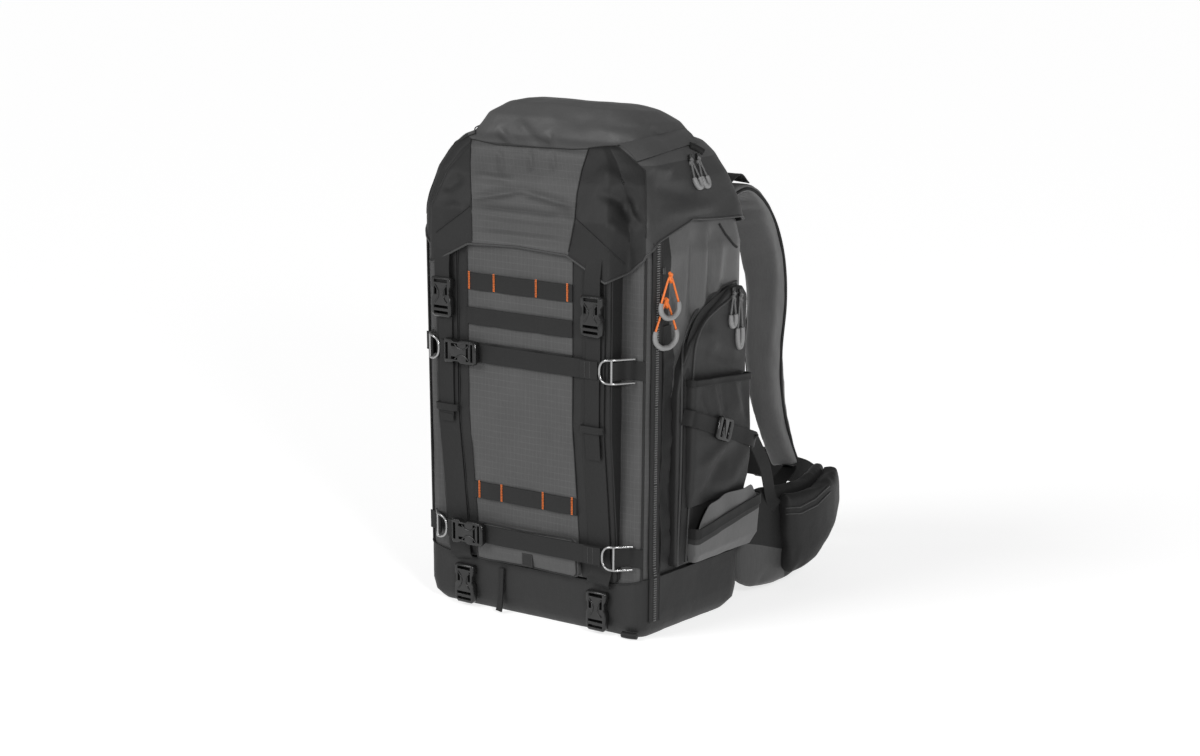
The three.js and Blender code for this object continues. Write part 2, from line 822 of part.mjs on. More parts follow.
// The strap's middle line from the bag over the shoulder to its tip, all as shares: x of the half
// width, out of the strap's reach from the bag's back, up of the bag's height, width of the strap's
const STRAP_ROWS = [
  { x: 0.494, out: 0, up: 0.862, width: 0.97 },
  { x: 0.511, out: 0.105, up: 0.945, width: 1 },
  { x: 0.551, out: 0.313, up: 0.984, width: 1 },
  { x: 0.58, out: 0.517, up: 0.96, width: 1 },
  { x: 0.608, out: 0.696, up: 0.891, width: 1 },
  { x: 0.636, out: 0.794, up: 0.8, width: 1 },
  { x: 0.653, out: 0.825, up: 0.691, width: 0.97 },
  { x: 0.653, out: 0.8, up: 0.564, width: 0.92 },
  { x: 0.67, out: 0.838, up: 0.445, width: 0.84 },
  { x: 0.722, out: 0.918, up: 0.345, width: 0.73 },
  { x: 0.767, out: 0.998, up: 0.273, width: 0.6 },
];

const onHarness = ({ x, out, up }) => ({
  at: [x * halfWidth, backFace + out * STRAP_REACH, up * PACK_HEIGHT],
});

function shoulderStrap() {
  const rows = STRAP_ROWS.map((row) => ({ ...onHarness(row), width: row.width * STRAP_WIDTH }));
  rows[0].at[1] = backFace + STRAP_THICK / 2 + SEAM;
  return band(rows, { across: [1, 0, 0], thickness: STRAP_THICK, section: PADDED_SECTION, smooth: 2 });
}

const LIFTER_ROWS = [
  { x: 0.727, out: -0.004, up: 1.004 },
  { x: 0.693, out: 0.214, up: 1.022 },
  { x: 0.636, out: 0.424, up: 0.996 },
];

function loadLifter() {
  const rows = LIFTER_ROWS.map(onHarness);
  return band(rows, { across: [1, 0, 0], width: 28, thickness: WEBBING, smooth: 2 });
}

function strapWebbing() {
  const tip = STRAP_ROWS.at(-1);
  const [x, y, z] = [tip.x * halfWidth, backFace + tip.out * STRAP_REACH, tip.up * PACK_HEIGHT];
  const onBoot = backFace + bootGrow;
  const rows = [
    { at: [x + 0.2, y + 0.3, z - 0.9] },
    { at: [x + 1.4, y + 2.2, z - 7] },
    { at: [x - 9, y - 65, z - 48] },
    { at: [x - 20, onBoot + 30, z - 70] },
    { at: [x - 23.5, onBoot + 2.6, z - 86] },
    { at: [x - 23.5, onBoot + 1, z - 110] },
  ];
  return band(rows, { across: [1, 0, 0], width: 24, thickness: WEBBING });
}

// Middle of the belt wing from the lumbar pad to its tip: x as a share of the half width, out as a
// share of the belt's reach from its root, the middle's height and the width as shares of the wing's
const BELT_TABLE = [
  { x: 0.744, out: 0, up: 0.561, width: 0.73 },
  { x: 0.852, out: 0.004, up: 0.561, width: 0.85 },
  { x: 0.955, out: 0.072, up: 0.541, width: 0.986 },
  { x: 0.994, out: 0.209, up: 0.52, width: 1 },
  { x: 1.017, out: 0.388, up: 0.554, width: 0.946 },
  { x: 0.972, out: 0.567, up: 0.662, width: 0.757 },
  { x: 0.858, out: 0.725, up: 0.757, width: 0.554 },
  { x: 0.722, out: 0.839, up: 0.77, width: 0.351 },
];
const beltRoot = backFace + bootGrow + BELT_THICK / 2 + 2 * SEAM + 0.1;
const BELT_ROWS = BELT_TABLE.map(({ x, out, up, width }) => ({
  at: [x * halfWidth, beltRoot + out * BELT_REACH, up * BELT_HEIGHT],
  width: width * BELT_HEIGHT,
}));
const beltWing = () =>
  band(BELT_ROWS, { across: [0, 0, 1], thickness: BELT_THICK, section: PADDED_SECTION, smooth: 2 });

function beltPocket() {
  const gap = BELT_THICK / 2 + SEAM + BELT_POCKET_THICK / 2 + 1.5;
  const rows = [3, 4, 5, 6].map((i) => {
    const [before, { at, width }, after] = BELT_ROWS.slice(i - 1, i + 2);
    const run = [after.at[0] - before.at[0], after.at[1] - before.at[1]];
    const step = gap / Math.hypot(...run);
    return { at: [at[0] + run[1] * step, at[1] - run[0] * step, at[2] + 4], width: width * 0.8 };
  });
  return band(rows, {
    across: [0, 0, 1],
    thickness: BELT_POCKET_THICK,
    section: PADDED_SECTION,
    smooth: 2,
  });
}

const beltFront = backFace + BELT_REACH;
const beltLevel = BELT_TABLE.at(-1).up * BELT_HEIGHT;

function beltWebbing() {
  const [tipX, tipY] = BELT_ROWS.at(-1).at;
  const right = [
    [tipX - 1.1, tipY + 1.7, beltLevel],
    [tipX - 31, tipY + 22, beltLevel],
    [tipX - 71, beltFront - 3, beltLevel],
  ];
  const left = [...right].reverse().map(([x, y, z]) => [-x, y, z]);
  const rows = [...right, [0, beltFront, beltLevel], ...left].map((at) => ({ at }));
  return band(rows, { across: [0, 0, 1], width: 38, thickness: WEBBING });
}

function beltBuckle() {
  return buckle()
    .scale(1.35, 1.1, 1.45)
    .rotateY(Math.PI / 2)
    .rotateZ(Math.PI)
    .translate(0, beltFront + WEBBING / 2 + SEAM, beltLevel);
}

function haulHandle() {
  const right = [
    [42, backFace],
    [41, backFace + 16],
    [24, backFace + 27],
  ];
  const left = [...right].reverse().map(([x, y]) => [-x, y]);
  const level = PACK_HEIGHT - HANDLE_DROP;
  const rows = [...right, [0, backFace + 30], ...left].map(([x, y]) => ({ at: [x, y, level] }));
  return band(rows, { across: [0, 0, 1], width: 24, thickness: 4, smooth: 2 });
}

// Assembly

const CLOTH_GREY = { color: 0x4e4e50, roughness: 0.75 };
const CLOTH_BLACK = { color: 0x232324, roughness: 0.85 };
const WEBBING_BLACK = { color: 0x1d1d1e, roughness: 0.8 };
const PLASTIC = { color: 0x161617, roughness: 0.45 };
const STEEL = { color: 0xc4c4c8, roughness: 0.3, metalness: 1 };
const PADDING = { color: 0x5b5b5d, roughness: 0.8 };
const GRIP = { color: 0x85858a, roughness: 0.6 };
const ORANGE = { color: 0xe2742c, roughness: 0.6 };

const part = new THREE.Group();

/** Widens a piece with height, like the bag. */
function tapered(geometry) {
  const position = geometry.getAttribute("position");
  for (let i = 0; i < position.count; i++) {
    const share = position.getZ(i) / PACK_HEIGHT - 0.5;
    position.setX(i, position.getX(i) * (1 + TAPER * share));
  }
  return geometry;
}

function add(name, geometry, look) {
  const mesh = new THREE.Mesh(tapered(geometry), new THREE.MeshStandardMaterial(look));
  mesh.name = name;
  part.add(mesh);
}

/** Adds a piece of the right side and its mirror image on the left. */
function addPair(name, build, look) {
  add(`${name}_right`, build(), look);
  add(`${name}_left`, mirrored(build()), look);
}

add("pack_body", packBody(), CLOTH_GREY);
add("base_boot", baseBoot(), CLOTH_BLACK);
add("front_pocket", frontPocket(), CLOTH_GREY);
stripTops.forEach((top, i) => add(`daisy_strip_${i + 1}`, daisyStrip(top), WEBBING_BLACK));
addPair("front_strap", uprightStrap, WEBBING_BLACK);
add("tripod_pocket", tripodPocket(), CLOTH_GREY);
add("pull_tab", pullTab(), WEBBING_BLACK);

const midProud = SEAM + WEBBING;
const lowProud = SEAM + CUP_PROUD;
add("lash_strap_mid", lashStrap(midLash, midProud), WEBBING_BLACK);
add("lash_strap_low", lashStrap(LOW_LASH, lowProud), WEBBING_BLACK);
add("buckle_mid", lashBuckle(midLash, midProud), PLASTIC);
add("buckle_low", lashBuckle(LOW_LASH, lowProud), PLASTIC);
addPair("hook_mid", () => wireHook(midLash, midProud), STEEL);
addPair("hook_low", () => wireHook(LOW_LASH, lowProud), STEEL);
const lidBucklePlane = pocketFace - SEAM - WEBBING;
const lidBuckleTop = lidHemLevel - LID_BUCKLE_DROP;
addPair("buckle_lid", () => uprightBuckle(strapSpread + 2, lidBucklePlane, lidBuckleTop), PLASTIC);
addPair("buckle_base", () => uprightBuckle(strapSpread - 7, bootFace, BASE_BUCKLE_TOP), PLASTIC);

add("lid", lid(), CLOTH_GREY);
add("lid_zip_hood", lidZipHood(), CLOTH_GREY);
const { at: shoulderLevel, wide: shoulderWidth } = LID_SECTIONS[LID_SHOULDER];
const hoodFoot = [halfWidth * shoulderWidth + LID_WALL + 6 * SEAM, lidLevel(shoulderLevel) - 3];
[2, 18].forEach((y, i) => {
  add(`lid_pull_${i + 1}`, sidePull(38, 12, 0.4, [hoodFoot[0], y, hoodFoot[1]]), GRIP);
});

addPair("main_zip", mainZip, WEBBING_BLACK);
add("main_pull_1", sidePull(52, 24, 0, [sideFace + SEAM, -70, 458]), ORANGE);
add("main_pull_2", sidePull(52, 24, 0, [sideFace + PULL_THICK + SEAM, -70, 424]), ORANGE);
addPair("side_pocket", sidePocket, CLOTH_BLACK);
add("side_pull_1", sidePull(44, 12, 0, [sidePocketFace + SEAM, 56, 424]), GRIP);
add("side_pull_2", sidePull(70, 12, 0, [sidePocketFace + SEAM, 72, 420]), GRIP);
addPair("stretch_pocket", stretchPocket, CLOTH_BLACK);
addPair("foot_pocket", footPocket, CLOTH_GREY);
addPair("side_strap", sideStrap, WEBBING_BLACK);
addPair("side_buckle", sideBuckle, PLASTIC);

add("back_panel", backPanel(), PADDING);
add("lumbar_pad", lumbarPad(), PADDING);
addPair("shoulder_strap", shoulderStrap, PADDING);
addPair("load_lifter", loadLifter, WEBBING_BLACK);
addPair("strap_webbing", strapWebbing, WEBBING_BLACK);
addPair("belt_wing", beltWing, PADDING);
addPair("belt_pocket", beltPocket, CLOTH_BLACK);
add("belt_webbing", beltWebbing(), WEBBING_BLACK);
add("belt_buckle", beltBuckle(), PLASTIC);
add("haul_handle", haulHandle(), WEBBING_BLACK);

export default part;
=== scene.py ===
import json
import math

import bpy
import numpy as np
from mathutils import Matrix, Vector, noise
from mathutils.bvhtree import BVHTree


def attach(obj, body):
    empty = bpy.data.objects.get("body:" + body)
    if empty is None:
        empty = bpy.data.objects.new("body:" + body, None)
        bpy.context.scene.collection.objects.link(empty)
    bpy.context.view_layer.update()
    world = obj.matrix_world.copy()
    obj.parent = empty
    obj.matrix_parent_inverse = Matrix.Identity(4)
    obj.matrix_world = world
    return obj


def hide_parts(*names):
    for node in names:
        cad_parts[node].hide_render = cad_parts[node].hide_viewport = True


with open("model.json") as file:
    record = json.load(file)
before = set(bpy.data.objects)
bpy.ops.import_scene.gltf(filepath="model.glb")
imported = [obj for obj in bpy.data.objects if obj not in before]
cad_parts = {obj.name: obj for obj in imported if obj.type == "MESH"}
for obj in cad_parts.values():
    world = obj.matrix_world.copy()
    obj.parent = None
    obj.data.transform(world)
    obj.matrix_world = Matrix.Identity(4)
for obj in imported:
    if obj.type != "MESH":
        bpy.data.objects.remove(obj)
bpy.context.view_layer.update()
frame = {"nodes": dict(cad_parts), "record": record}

# Camera, floor and light
# The bag stands on a pale studio floor in soft white light. The camera looks down
# a little on the corner between the front and the zipped side.
MM = 0.001
EYE = np.array([2155.0, -2831.0, 1023.0])
AZIMUTH = math.radians(37.0)
DOWN = math.radians(11.5)
FOCAL = 2780.0
PICTURE_WIDTH, PICTURE_HEIGHT = 1200.0, 756.0
BACKDROP, ROOM_LIGHT = 1.0, 0.27
FLOOR_GREY, FLOOR_GLOW = 0.5, 0.7
WHITE = (1, 1, 1, 1)

LOOK = np.array([-math.sin(AZIMUTH) * math.cos(DOWN), math.cos(AZIMUTH) * math.cos(DOWN), -math.sin(DOWN)])
RIGHT = np.array([math.cos(AZIMUTH), math.sin(AZIMUTH), 0.0])
UPWARD = np.cross(RIGHT, LOOK)


def in_picture(points):
    """Where points, in millimetres, fall in the picture, in pixels."""
    away = np.asarray(points, float) - EYE
    depth = away @ LOOK
    across = PICTURE_WIDTH / 2 + FOCAL * (away @ RIGHT) / depth
    down = PICTURE_HEIGHT / 2 - FOCAL * (away @ UPWARD) / depth
    return np.stack([across, down], axis=-1)


def place_camera():
    lens = bpy.data.cameras.new("studio_camera")
    lens.sensor_width = 36.0
    lens.lens = FOCAL / PICTURE_WIDTH * lens.sensor_width
    lens.clip_end = 50.0
    camera = bpy.data.objects.new("studio_camera", lens)
    bpy.context.scene.collection.objects.link(camera)
    turn = Matrix((RIGHT, UPWARD, -LOOK)).transposed()
    camera.matrix_world = Matrix.Translation(Vector(EYE * MM)) @ turn.to_4x4()
    bpy.context.scene.camera = camera


def place_light(name, kind, place, target, size, power):
    lamp = bpy.data.lights.new(name, kind)
    if kind == "SUN":
        lamp.angle = size
    else:
        lamp.shape = "DISK"
        lamp.size = size
    lamp.energy = power
    holder = bpy.data.objects.new(name, lamp)
    bpy.context.scene.collection.objects.link(holder)
    holder.location = place
    holder.rotation_euler = (Vector(target) - Vector(place)).to_track_quat("-Z", "Y").to_euler()


def place_floor():
    bpy.ops.object.select_all(action="DESELECT")
    bpy.ops.mesh.primitive_grid_add(x_subdivisions=4, y_subdivisions=4, size=30)
    floor = bpy.context.object
    floor.name = "studio_floor"
    paint = bpy.data.materials.new("studio_floor")
    paint.use_nodes = True
    shader = paint.node_tree.nodes["Principled BSDF"]
    shader.inputs["Base Color"].default_value = (FLOOR_GREY, FLOOR_GREY, FLOOR_GREY, 1)
    shader.inputs["Roughness"].default_value = 0.9
    shader.inputs["Emission Color"].default_value = WHITE
    shader.inputs["Emission Strength"].default_value = FLOOR_GLOW
    floor.data.materials.append(paint)


def light_room():
    world = bpy.data.worlds.new("studio")
    world.use_nodes = True
    tree = world.node_tree
    paper = tree.nodes["Background"]
    paper.inputs["Strength"].default_value = BACKDROP
    room = tree.nodes.new("ShaderNodeBackground")
    room.inputs["Strength"].default_value = ROOM_LIGHT
    ray = tree.nodes.new("ShaderNodeLightPath")
    either = tree.nodes.new("ShaderNodeMixShader")
    for shader in (paper, room):
        shader.inputs["Color"].default_value = WHITE
    tree.links.new(ray.outputs["Is Camera Ray"], either.inputs[0])
    tree.links.new(room.outputs[0], either.inputs[1])
    tree.links.new(paper.outputs[0], either.inputs[2])
    tree.links.new(either.outputs[0], tree.nodes["World Output"].inputs[0])
    bpy.context.scene.world = world
    bpy.context.scene.view_settings.view_transform = "Standard"


place_camera()
place_floor()
light_room()
place_light("key_light", "SUN", (-1.0, -2.0, 1.35), (0, 0, 0), 0.6, 1.75)
place_light("side_light", "AREA", (2.5, -1.9, 1.5), (0.15, 0, 0.4), 0.5, 46)


# Finishes of the cloth
# Coated nylon, ripstop with its grid of thicker threads, and satin linings. Each has a fine
# weave, slow changes of tone from handling, and a different sheen.
def feed(tree, socket, value):
    """Sets an input of a shader node, or joins another node's output to it."""
    if isinstance(value, bpy.types.NodeSocket):
        tree.links.new(value, socket)
    else:
        socket.default_value = value


def put(tree, kind, **inputs):
    """Adds a shader node with its inputs set or joined."""
    node = tree.nodes.new("ShaderNode" + kind)
    for name, value in inputs.items():
        feed(tree, node.inputs[name.replace("_", " ")], value)
    return node


def sums(tree, operation, first, second=0.5, third=0.5):
    """One step of arithmetic between shader values."""
    node = tree.nodes.new("ShaderNodeMath")
    node.operation = operation
    for socket, value in zip(node.inputs, (first, second, third)):
        feed(tree, socket, value)
    return node.outputs[0]


def mixed(tree, share, first, second, kind="FLOAT"):
    """A mix of two values, or of two colours."""
    node = tree.nodes.new("ShaderNodeMix")
    node.data_type = kind
    wanted = "VALUE" if kind == "FLOAT" else kind
    pair = [socket for socket in node.inputs if socket.type == wanted][-2:]
    for socket, value in zip([node.inputs[0], *pair], (share, first, second)):
        feed(tree, socket, value)
    return [socket for socket in node.outputs if socket.type == wanted][0]


def painted(tree, shader, colour, tone):
    """Gives a shader its colour, made lighter and darker by a tone."""
    toned = tree.nodes.new("ShaderNodeVectorMath")
    toned.operation = "SCALE"
    if not isinstance(colour, bpy.types.NodeSocket):
        colour = colour[:3]
    feed(tree, toned.inputs[0], colour)
    feed(tree, toned.inputs["Scale"], tone)
    tree.links.new(toned.outputs[0], shader.inputs["Base Color"])


def grey(value):
    return (value, value, value, 1)


RIPSTOP = (grey(0.06), 0.56, 1.0)
SATIN = (grey(0.085), 0.34, 0.0)
COATED = (grey(0.04), 0.5, 0.0)
BLACK = (grey(0.012), 0.58, 0.0)
RIP_PITCH = 0.0085  # between the thicker threads
CLOTH_SHEEN, FINE_WEAVE = 0.03, 0.0007
CLOUDS, STREAKS, PATCHES, CREASES = 14.0, 900.0, 38.0, 55.0  # how fine each pattern is


def new_finish(name):
    """An empty finish, its nodes and its shader."""
    finish = bpy.data.materials.new(name)
    finish.use_nodes = True
    tree = finish.node_tree
    return finish, tree, tree.nodes["Principled BSDF"]


def cloth_finish(name, ground, zones=(), weave=FINE_WEAVE):
    """Woven cloth over a ground of colour, roughness and ripstop share.

    Zones of the same three values lie over the ground where their attribute is above zero.
    """
    finish, tree, shader = new_finish(name)
    place = put(tree, "TexCoord").outputs["Object"]
    split = put(tree, "SeparateXYZ", Vector=place)
    round_bag = sums(tree, "ADD", split.outputs["X"], split.outputs["Y"])
    height = split.outputs["Z"]
    colour, rough, rip = ground
    for attribute, (zone_colour, zone_rough, zone_rip) in zones:
        mark = put(tree, "Attribute")
        mark.attribute_name = attribute
        share = sums(tree, "GREATER_THAN", mark.outputs["Fac"], 0.0)
        colour = mixed(tree, share, colour, zone_colour, "RGBA")
        rough = mixed(tree, share, rough, zone_rough)
        rip = mixed(tree, share, rip, zone_rip)
    # Slow changes of tone, and the streaks of single threads
    cloud = put(tree, "TexNoise", Vector=place, Scale=CLOUDS, Detail=4.0).outputs["Fac"]
    up_threads = put(tree, "Mapping", Vector=place, Scale=(1.0, 1.0, 0.06))
    streak = put(tree, "TexNoise", Vector=up_threads.outputs[0], Scale=STREAKS, Detail=2.0).outputs["Fac"]
    tone = sums(tree, "MULTIPLY_ADD", cloud, 0.36, 0.82)
    streak_tone = sums(tree, "MULTIPLY_ADD", streak, 0.34, 0.83)
    tone = sums(tree, "MULTIPLY", tone, streak_tone)
    # The thicker threads of the ripstop
    level = sums(tree, "FRACT", sums(tree, "DIVIDE", height, RIP_PITCH))
    wide = sums(tree, "FRACT", sums(tree, "DIVIDE", round_bag, RIP_PITCH * 0.7))
    patchy = put(tree, "TexNoise", Vector=place, Scale=PATCHES, Detail=1.0).outputs["Fac"]
    level_shade = sums(tree, "MULTIPLY", patchy, 0.34)
    level_line = sums(tree, "MULTIPLY", sums(tree, "LESS_THAN", level, 0.11), level_shade)
    up_line = sums(tree, "MULTIPLY", sums(tree, "LESS_THAN", wide, 0.16), 0.13)
    lines = sums(tree, "MULTIPLY", sums(tree, "ADD", level_line, up_line), rip)
    tone = sums(tree, "ADD", tone, lines)
    painted(tree, shader, colour, tone)
    rough_tone = sums(tree, "MULTIPLY_ADD", cloud, 0.16, -0.08)
    tree.links.new(sums(tree, "ADD", rough, rough_tone), shader.inputs["Roughness"])
    shader.inputs["Sheen Weight"].default_value = CLOTH_SHEEN
    shader.inputs["Sheen Roughness"].default_value = 0.4
    shader.inputs["Specular IOR Level"].default_value = 0.3
    # Weave and small creases in relief
    turns = 2 * math.pi / weave
    over = sums(tree, "SINE", sums(tree, "MULTIPLY", height, turns))
    under = sums(tree, "SINE", sums(tree, "MULTIPLY", round_bag, turns))
    weave_height = sums(tree, "MULTIPLY", over, under)
    crumple = put(tree, "TexNoise", Vector=place, Scale=CREASES, Detail=6.0, Roughness=0.6).outputs["Fac"]
    threads = put(tree, "Bump", Strength=0.18, Distance=0.00015, Height=weave_height)
    crumpled = put(tree, "Bump", Strength=0.3, Distance=0.0022, Height=crumple, Normal=threads.outputs[0])
    ridges = put(tree, "Bump", Strength=0.4, Distance=0.0003, Height=lines, Normal=crumpled.outputs[0])
    tree.links.new(ridges.outputs[0], shader.inputs["Normal"])
    return finish


# Sewn forms of the bag
# The bag, its boot, pockets and lid are cut from flat panels and sewn into rounded shells.
# Each is a grid of cloth laid along rings round the form, then folded and given its thickness.
HALF, DEEP, TALL = 176.0, 113.0, 550.0
WIDENING = 0.04
SEAM = 0.3
POCKET_HALF = 140.0
FRONT_RADIUS, BACK_RADIUS = 14, 34
SIDES = (("right", 1), ("left", -1))


def widened(points):
    """The bag grows wider towards its rim."""
    points = np.array(points, float)
    points[..., 0] *= 1 + WIDENING * (points[..., 2] / TALL - 0.5)
    return points


def along(rows, place):
    """A value read from a table of places and values."""
    table = np.array(rows, float)
    return np.interp(place, table[:, 0], table[:, 1])


def arc(centre, radius, start, end, count):
    """Places round a corner, without the last one."""
    turn = np.linspace(start, end, count)[:-1, None]
    return np.hstack([centre[0] + radius * np.cos(turn), centre[1] + radius * np.sin(turn)])


def bag_outline(half, front, back, front_radius, back_radius, proud=0.0):
    """Outline of the bag at one level, from the middle of the front round the right side."""
    flat = half - front_radius
    face = min(POCKET_HALF, flat * 0.9)
    shoulder = min(face + 12, flat * 0.98)
    runs = [
        np.linspace((0, front - proud), (face, front - proud), 40, endpoint=False),
        np.linspace((face, front - proud), (shoulder, front), 8, endpoint=False),
        np.linspace((shoulder, front), (flat, front), 6, endpoint=False),
        arc((flat, front + front_radius), front_radius, -math.pi / 2, 0, 9),
        np.linspace((half, front + front_radius), (half, back - back_radius), 46, endpoint=False),
        arc((half - back_radius, back - back_radius), back_radius, 0, math.pi / 2, 13),
        np.linspace((half - back_radius, back), (0, back), 22),
    ]
    side = np.vstack(runs)
    other = side[-2::-1] * (-1, 1)
    return np.vstack([side, other])


def smoothed(rings, times):
    """Softens a closed form above its first ring: points move towards the middle of their neighbours."""
    for _ in range(times):
        middle, lifted, moved = rings.copy(), rings.copy(), rings.copy()
        body = rings[:, :-1]
        middle[:, :-1] = (np.roll(body, 1, axis=1) + np.roll(body, -1, axis=1)) / 2
        middle[:, -1] = middle[:, 0]
        lifted[1:-1] = (rings[2:] + rings[:-2]) / 2
        moved[1:] += 0.6 * ((middle + lifted) / 2 - rings)[1:]
        rings = moved
    return rings


def outward(rings, closed=True):
    """Unit normals of a form, away from its middle."""
    if closed:
        ahead = np.roll(rings[:, :-1], -1, axis=1) - np.roll(rings[:, :-1], 1, axis=1)
        ahead = np.concatenate([ahead, ahead[:, :1]], axis=1)
    else:
        ahead = np.gradient(rings, axis=1)
    rise = np.gradient(rings, axis=0)
    normal = np.cross(ahead, rise)
    size = np.linalg.norm(normal, axis=-1, keepdims=True)
    normal = np.where(size > 1e-9, normal / np.maximum(size, 1e-9), 0)
    away = rings - rings.reshape(-1, 3).mean(0)
    return normal * (1 if (normal * away).sum() > 0 else -1)


FOLD_DEPTH = 2.3  # how much deeper the folds are than their table says


def folded(rings, folds, both_sides=True, closed=True):
    """Presses folds into a form.

    A fold is a line in the picture, x0, y0, x1, y1 and its width in pixels, and its height in
    millimetres, less than zero for a valley.
    """
    normal = outward(rings, closed)
    for flip in (1, -1) if both_sides else (1,):
        points = rings * (flip, 1, 1)
        facing = ((normal * (flip, 1, 1)) @ -LOOK) > 0.05
        seen = in_picture(points)
        move = np.zeros(rings.shape[:2])
        for x0, y0, x1, y1, width, height in folds:
            start, run = np.array([x0, y0], float), np.array([x1 - x0, y1 - y0], float)
            length = np.hypot(*run)
            share = ((seen - start) @ run) / length**2
            nearest = start + np.clip(share, 0, 1)[..., None] * run
            distance = np.linalg.norm(seen - nearest, axis=-1)
            fade = np.clip(np.minimum(share, 1 - share) * 3 + 0.35, 0, 1)
            move += FOLD_DEPTH * height * np.exp(-((distance / width) ** 2)) * fade
        rings = rings + normal * (move * facing)[..., None]
    return rings


def rumpled(rings, amount, size, seed=0, stretch=(1, 1, 1), closed=True):
    """Small uneven swellings of handled cloth."""
    normal = outward(rings, closed)
    offset = Vector((seed * 17.3, seed * 5.1, seed * 9.7))
    scale = np.array(stretch, float) / size
    flat = (rings * scale).reshape(-1, 3)
    places = [Vector(point) for point in flat]
    heights = np.array([noise.noise(p + offset) + 0.4 * noise.noise(p * 2.3 + offset) for p in places])
    return rings + normal * (amount * heights.reshape(rings.shape[:2]))[..., None]


def only(piece):
    bpy.ops.object.select_all(action="DESELECT")
    piece.select_set(True)
    bpy.context.view_layer.objects.active = piece


def faced_out(piece):
    """Merges doubled points and turns the faces outwards."""
    only(piece)
    bpy.ops.object.mode_set(mode="EDIT")
    bpy.ops.mesh.select_all(action="SELECT")
    bpy.ops.mesh.remove_doubles(threshold=1e-5)
    bpy.ops.mesh.normals_make_consistent(inside=False)
    bpy.ops.object.mode_set(mode="OBJECT")
    centres = np.array([p.center for p in piece.data.polygons])
    normals = np.array([p.normal for p in piece.data.polygons])
    areas = np.array([p.area for p in piece.data.polygons])[:, None]
    away = centres - centres.mean(0)
    if (normals * away * areas).sum() < 0:
        bpy.ops.object.mode_set(mode="EDIT")
        bpy.ops.mesh.select_all(action="SELECT")
        bpy.ops.mesh.flip_normals()
        bpy.ops.object.mode_set(mode="OBJECT")


def sewn(name, rings, wall=0.0, marks=None, angle=50, widen=True):
    """Lays a grid of cloth along rings of points and gives it its thickness inwards."""
    rows, columns = rings.shape[:2]
    bpy.ops.object.select_all(action="DESELECT")
    bpy.ops.mesh.primitive_grid_add(x_subdivisions=columns - 1, y_subdivisions=rows - 1, size=1)
    piece = bpy.context.object
    piece.name = piece.data.name = name
    laid = widened(rings) if widen else rings
    piece.data.vertices.foreach_set("co", (laid * MM).ravel())
    for mark, values in (marks or {}).items():
        attribute = piece.data.attributes.new(mark, "FLOAT", "POINT")
        attribute.data.foreach_set("value", np.asarray(values, np.float32).ravel())
    piece.data.update()
    faced_out(piece)
    if wall:
        skin = piece.modifiers.new("wall", "SOLIDIFY")
        skin.thickness = wall * MM
        skin.offset = -1
        bpy.ops.object.modifier_apply(modifier=skin.name)
    bpy.ops.object.shade_smooth_by_angle(angle=math.radians(angle))
    return piece


def dress(piece, finish, slot, *nodes):
    """Gives a piece its finish and its place on the frame."""
    piece.data.materials.clear()
    piece.data.materials.append(finish)
    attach(piece, "root")
    if nodes:
        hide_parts(*nodes)
    return piece


def skin_of(piece):
    """The surface of a finished piece, for things that are sewn onto it."""
    points = [v.co.copy() for v in piece.data.vertices]
    faces = [tuple(p.vertices) for p in piece.data.polygons]
    return BVHTree.FromPolygons(points, faces)


def onto(skins, pixels, lift=0.0):
    """Points of the nearest surface behind places in the picture, in millimetres."""
    found = []
    for across, down in pixels:
        rightward = RIGHT * (across - PICTURE_WIDTH / 2) / FOCAL
        downward = UPWARD * (down - PICTURE_HEIGHT / 2) / FOCAL
        ray = Vector(LOOK + rightward - downward).normalized()
        hits = [skin.ray_cast(Vector(EYE * MM), ray) for skin in skins]
        hits = [hit for hit in hits if hit[0] is not None]
        if hits:
            place, normal, _, _ = min(hits, key=lambda hit: hit[3])
            if normal.dot(ray) > 0:
                normal = -normal
            found.append(np.array(place) / MM + np.array(normal) * lift)
    return np.array(found)


# Bag body
# A padded nylon bag, open under the lid. Grey ripstop runs up both edges of its front, black
# nylon covers the sides, and satin cloth gathers on the upper sides.
BAG_LEVELS = [
    (0.006, 0.93, 0.9),
    (0.022, 0.985, 0.98),
    (0.05, 1.0, 1.0),
    (0.88, 1.0, 1.0),
    (1.0, 0.94, 0.91),
]


def bag_ring(wide, deep, grow=0.0):
    half, back = HALF * wide + grow, DEEP * deep + grow
    return bag_outline(half, -back, back, FRONT_RADIUS + grow, BACK_RADIUS + grow)


def bag_rings(levels, rows, grow=0.0):
    at, wide, deep = np.array(levels, float).T
    rings = []
    for level in rows:
        outline = bag_ring(np.interp(level, at, wide), np.interp(level, at, deep), grow)
        rings.append(np.column_stack([outline, np.full(len(outline), level * TALL)]))
    return np.array(rings)


BAG_FOLDS = [
    (702, 228, 698, 330, 5, 2.4),
    (710, 230, 709, 290, 3, -2.0),
    (692, 236, 691, 320, 3, -2.0),
    (719, 240, 713, 300, 4, 1.8),
    (684, 262, 681, 320, 3, 1.2),
    (672, 270, 668, 330, 3, -1.2),
    (666, 330, 672, 400, 3, 1.4),
    (671, 400, 664, 470, 3, -1.4),
    (666, 470, 671, 540, 3, 1.2),
]
STRIP_INNER_EDGE, STRIP_TURN = 128, -98  # edges of the grey strips across and front to back
SATIN_FRONT, SATIN_BACK, SATIN_FOOT = -62, 112, 300
foot_rows, body_rows = np.linspace(0.006, 0.05, 6)[:-1], np.linspace(0.05, 0.88, 120)[:-1]
bag_rows = np.concatenate([foot_rows, body_rows, np.linspace(0.88, 1, 12)])
bag = bag_rings(BAG_LEVELS, bag_rows)
bag = rumpled(bag, 1.1, 60, seed=1)
bag = folded(bag, BAG_FOLDS)
bag_x, bag_y, bag_z = bag[..., 0], bag[..., 1], bag[..., 2]
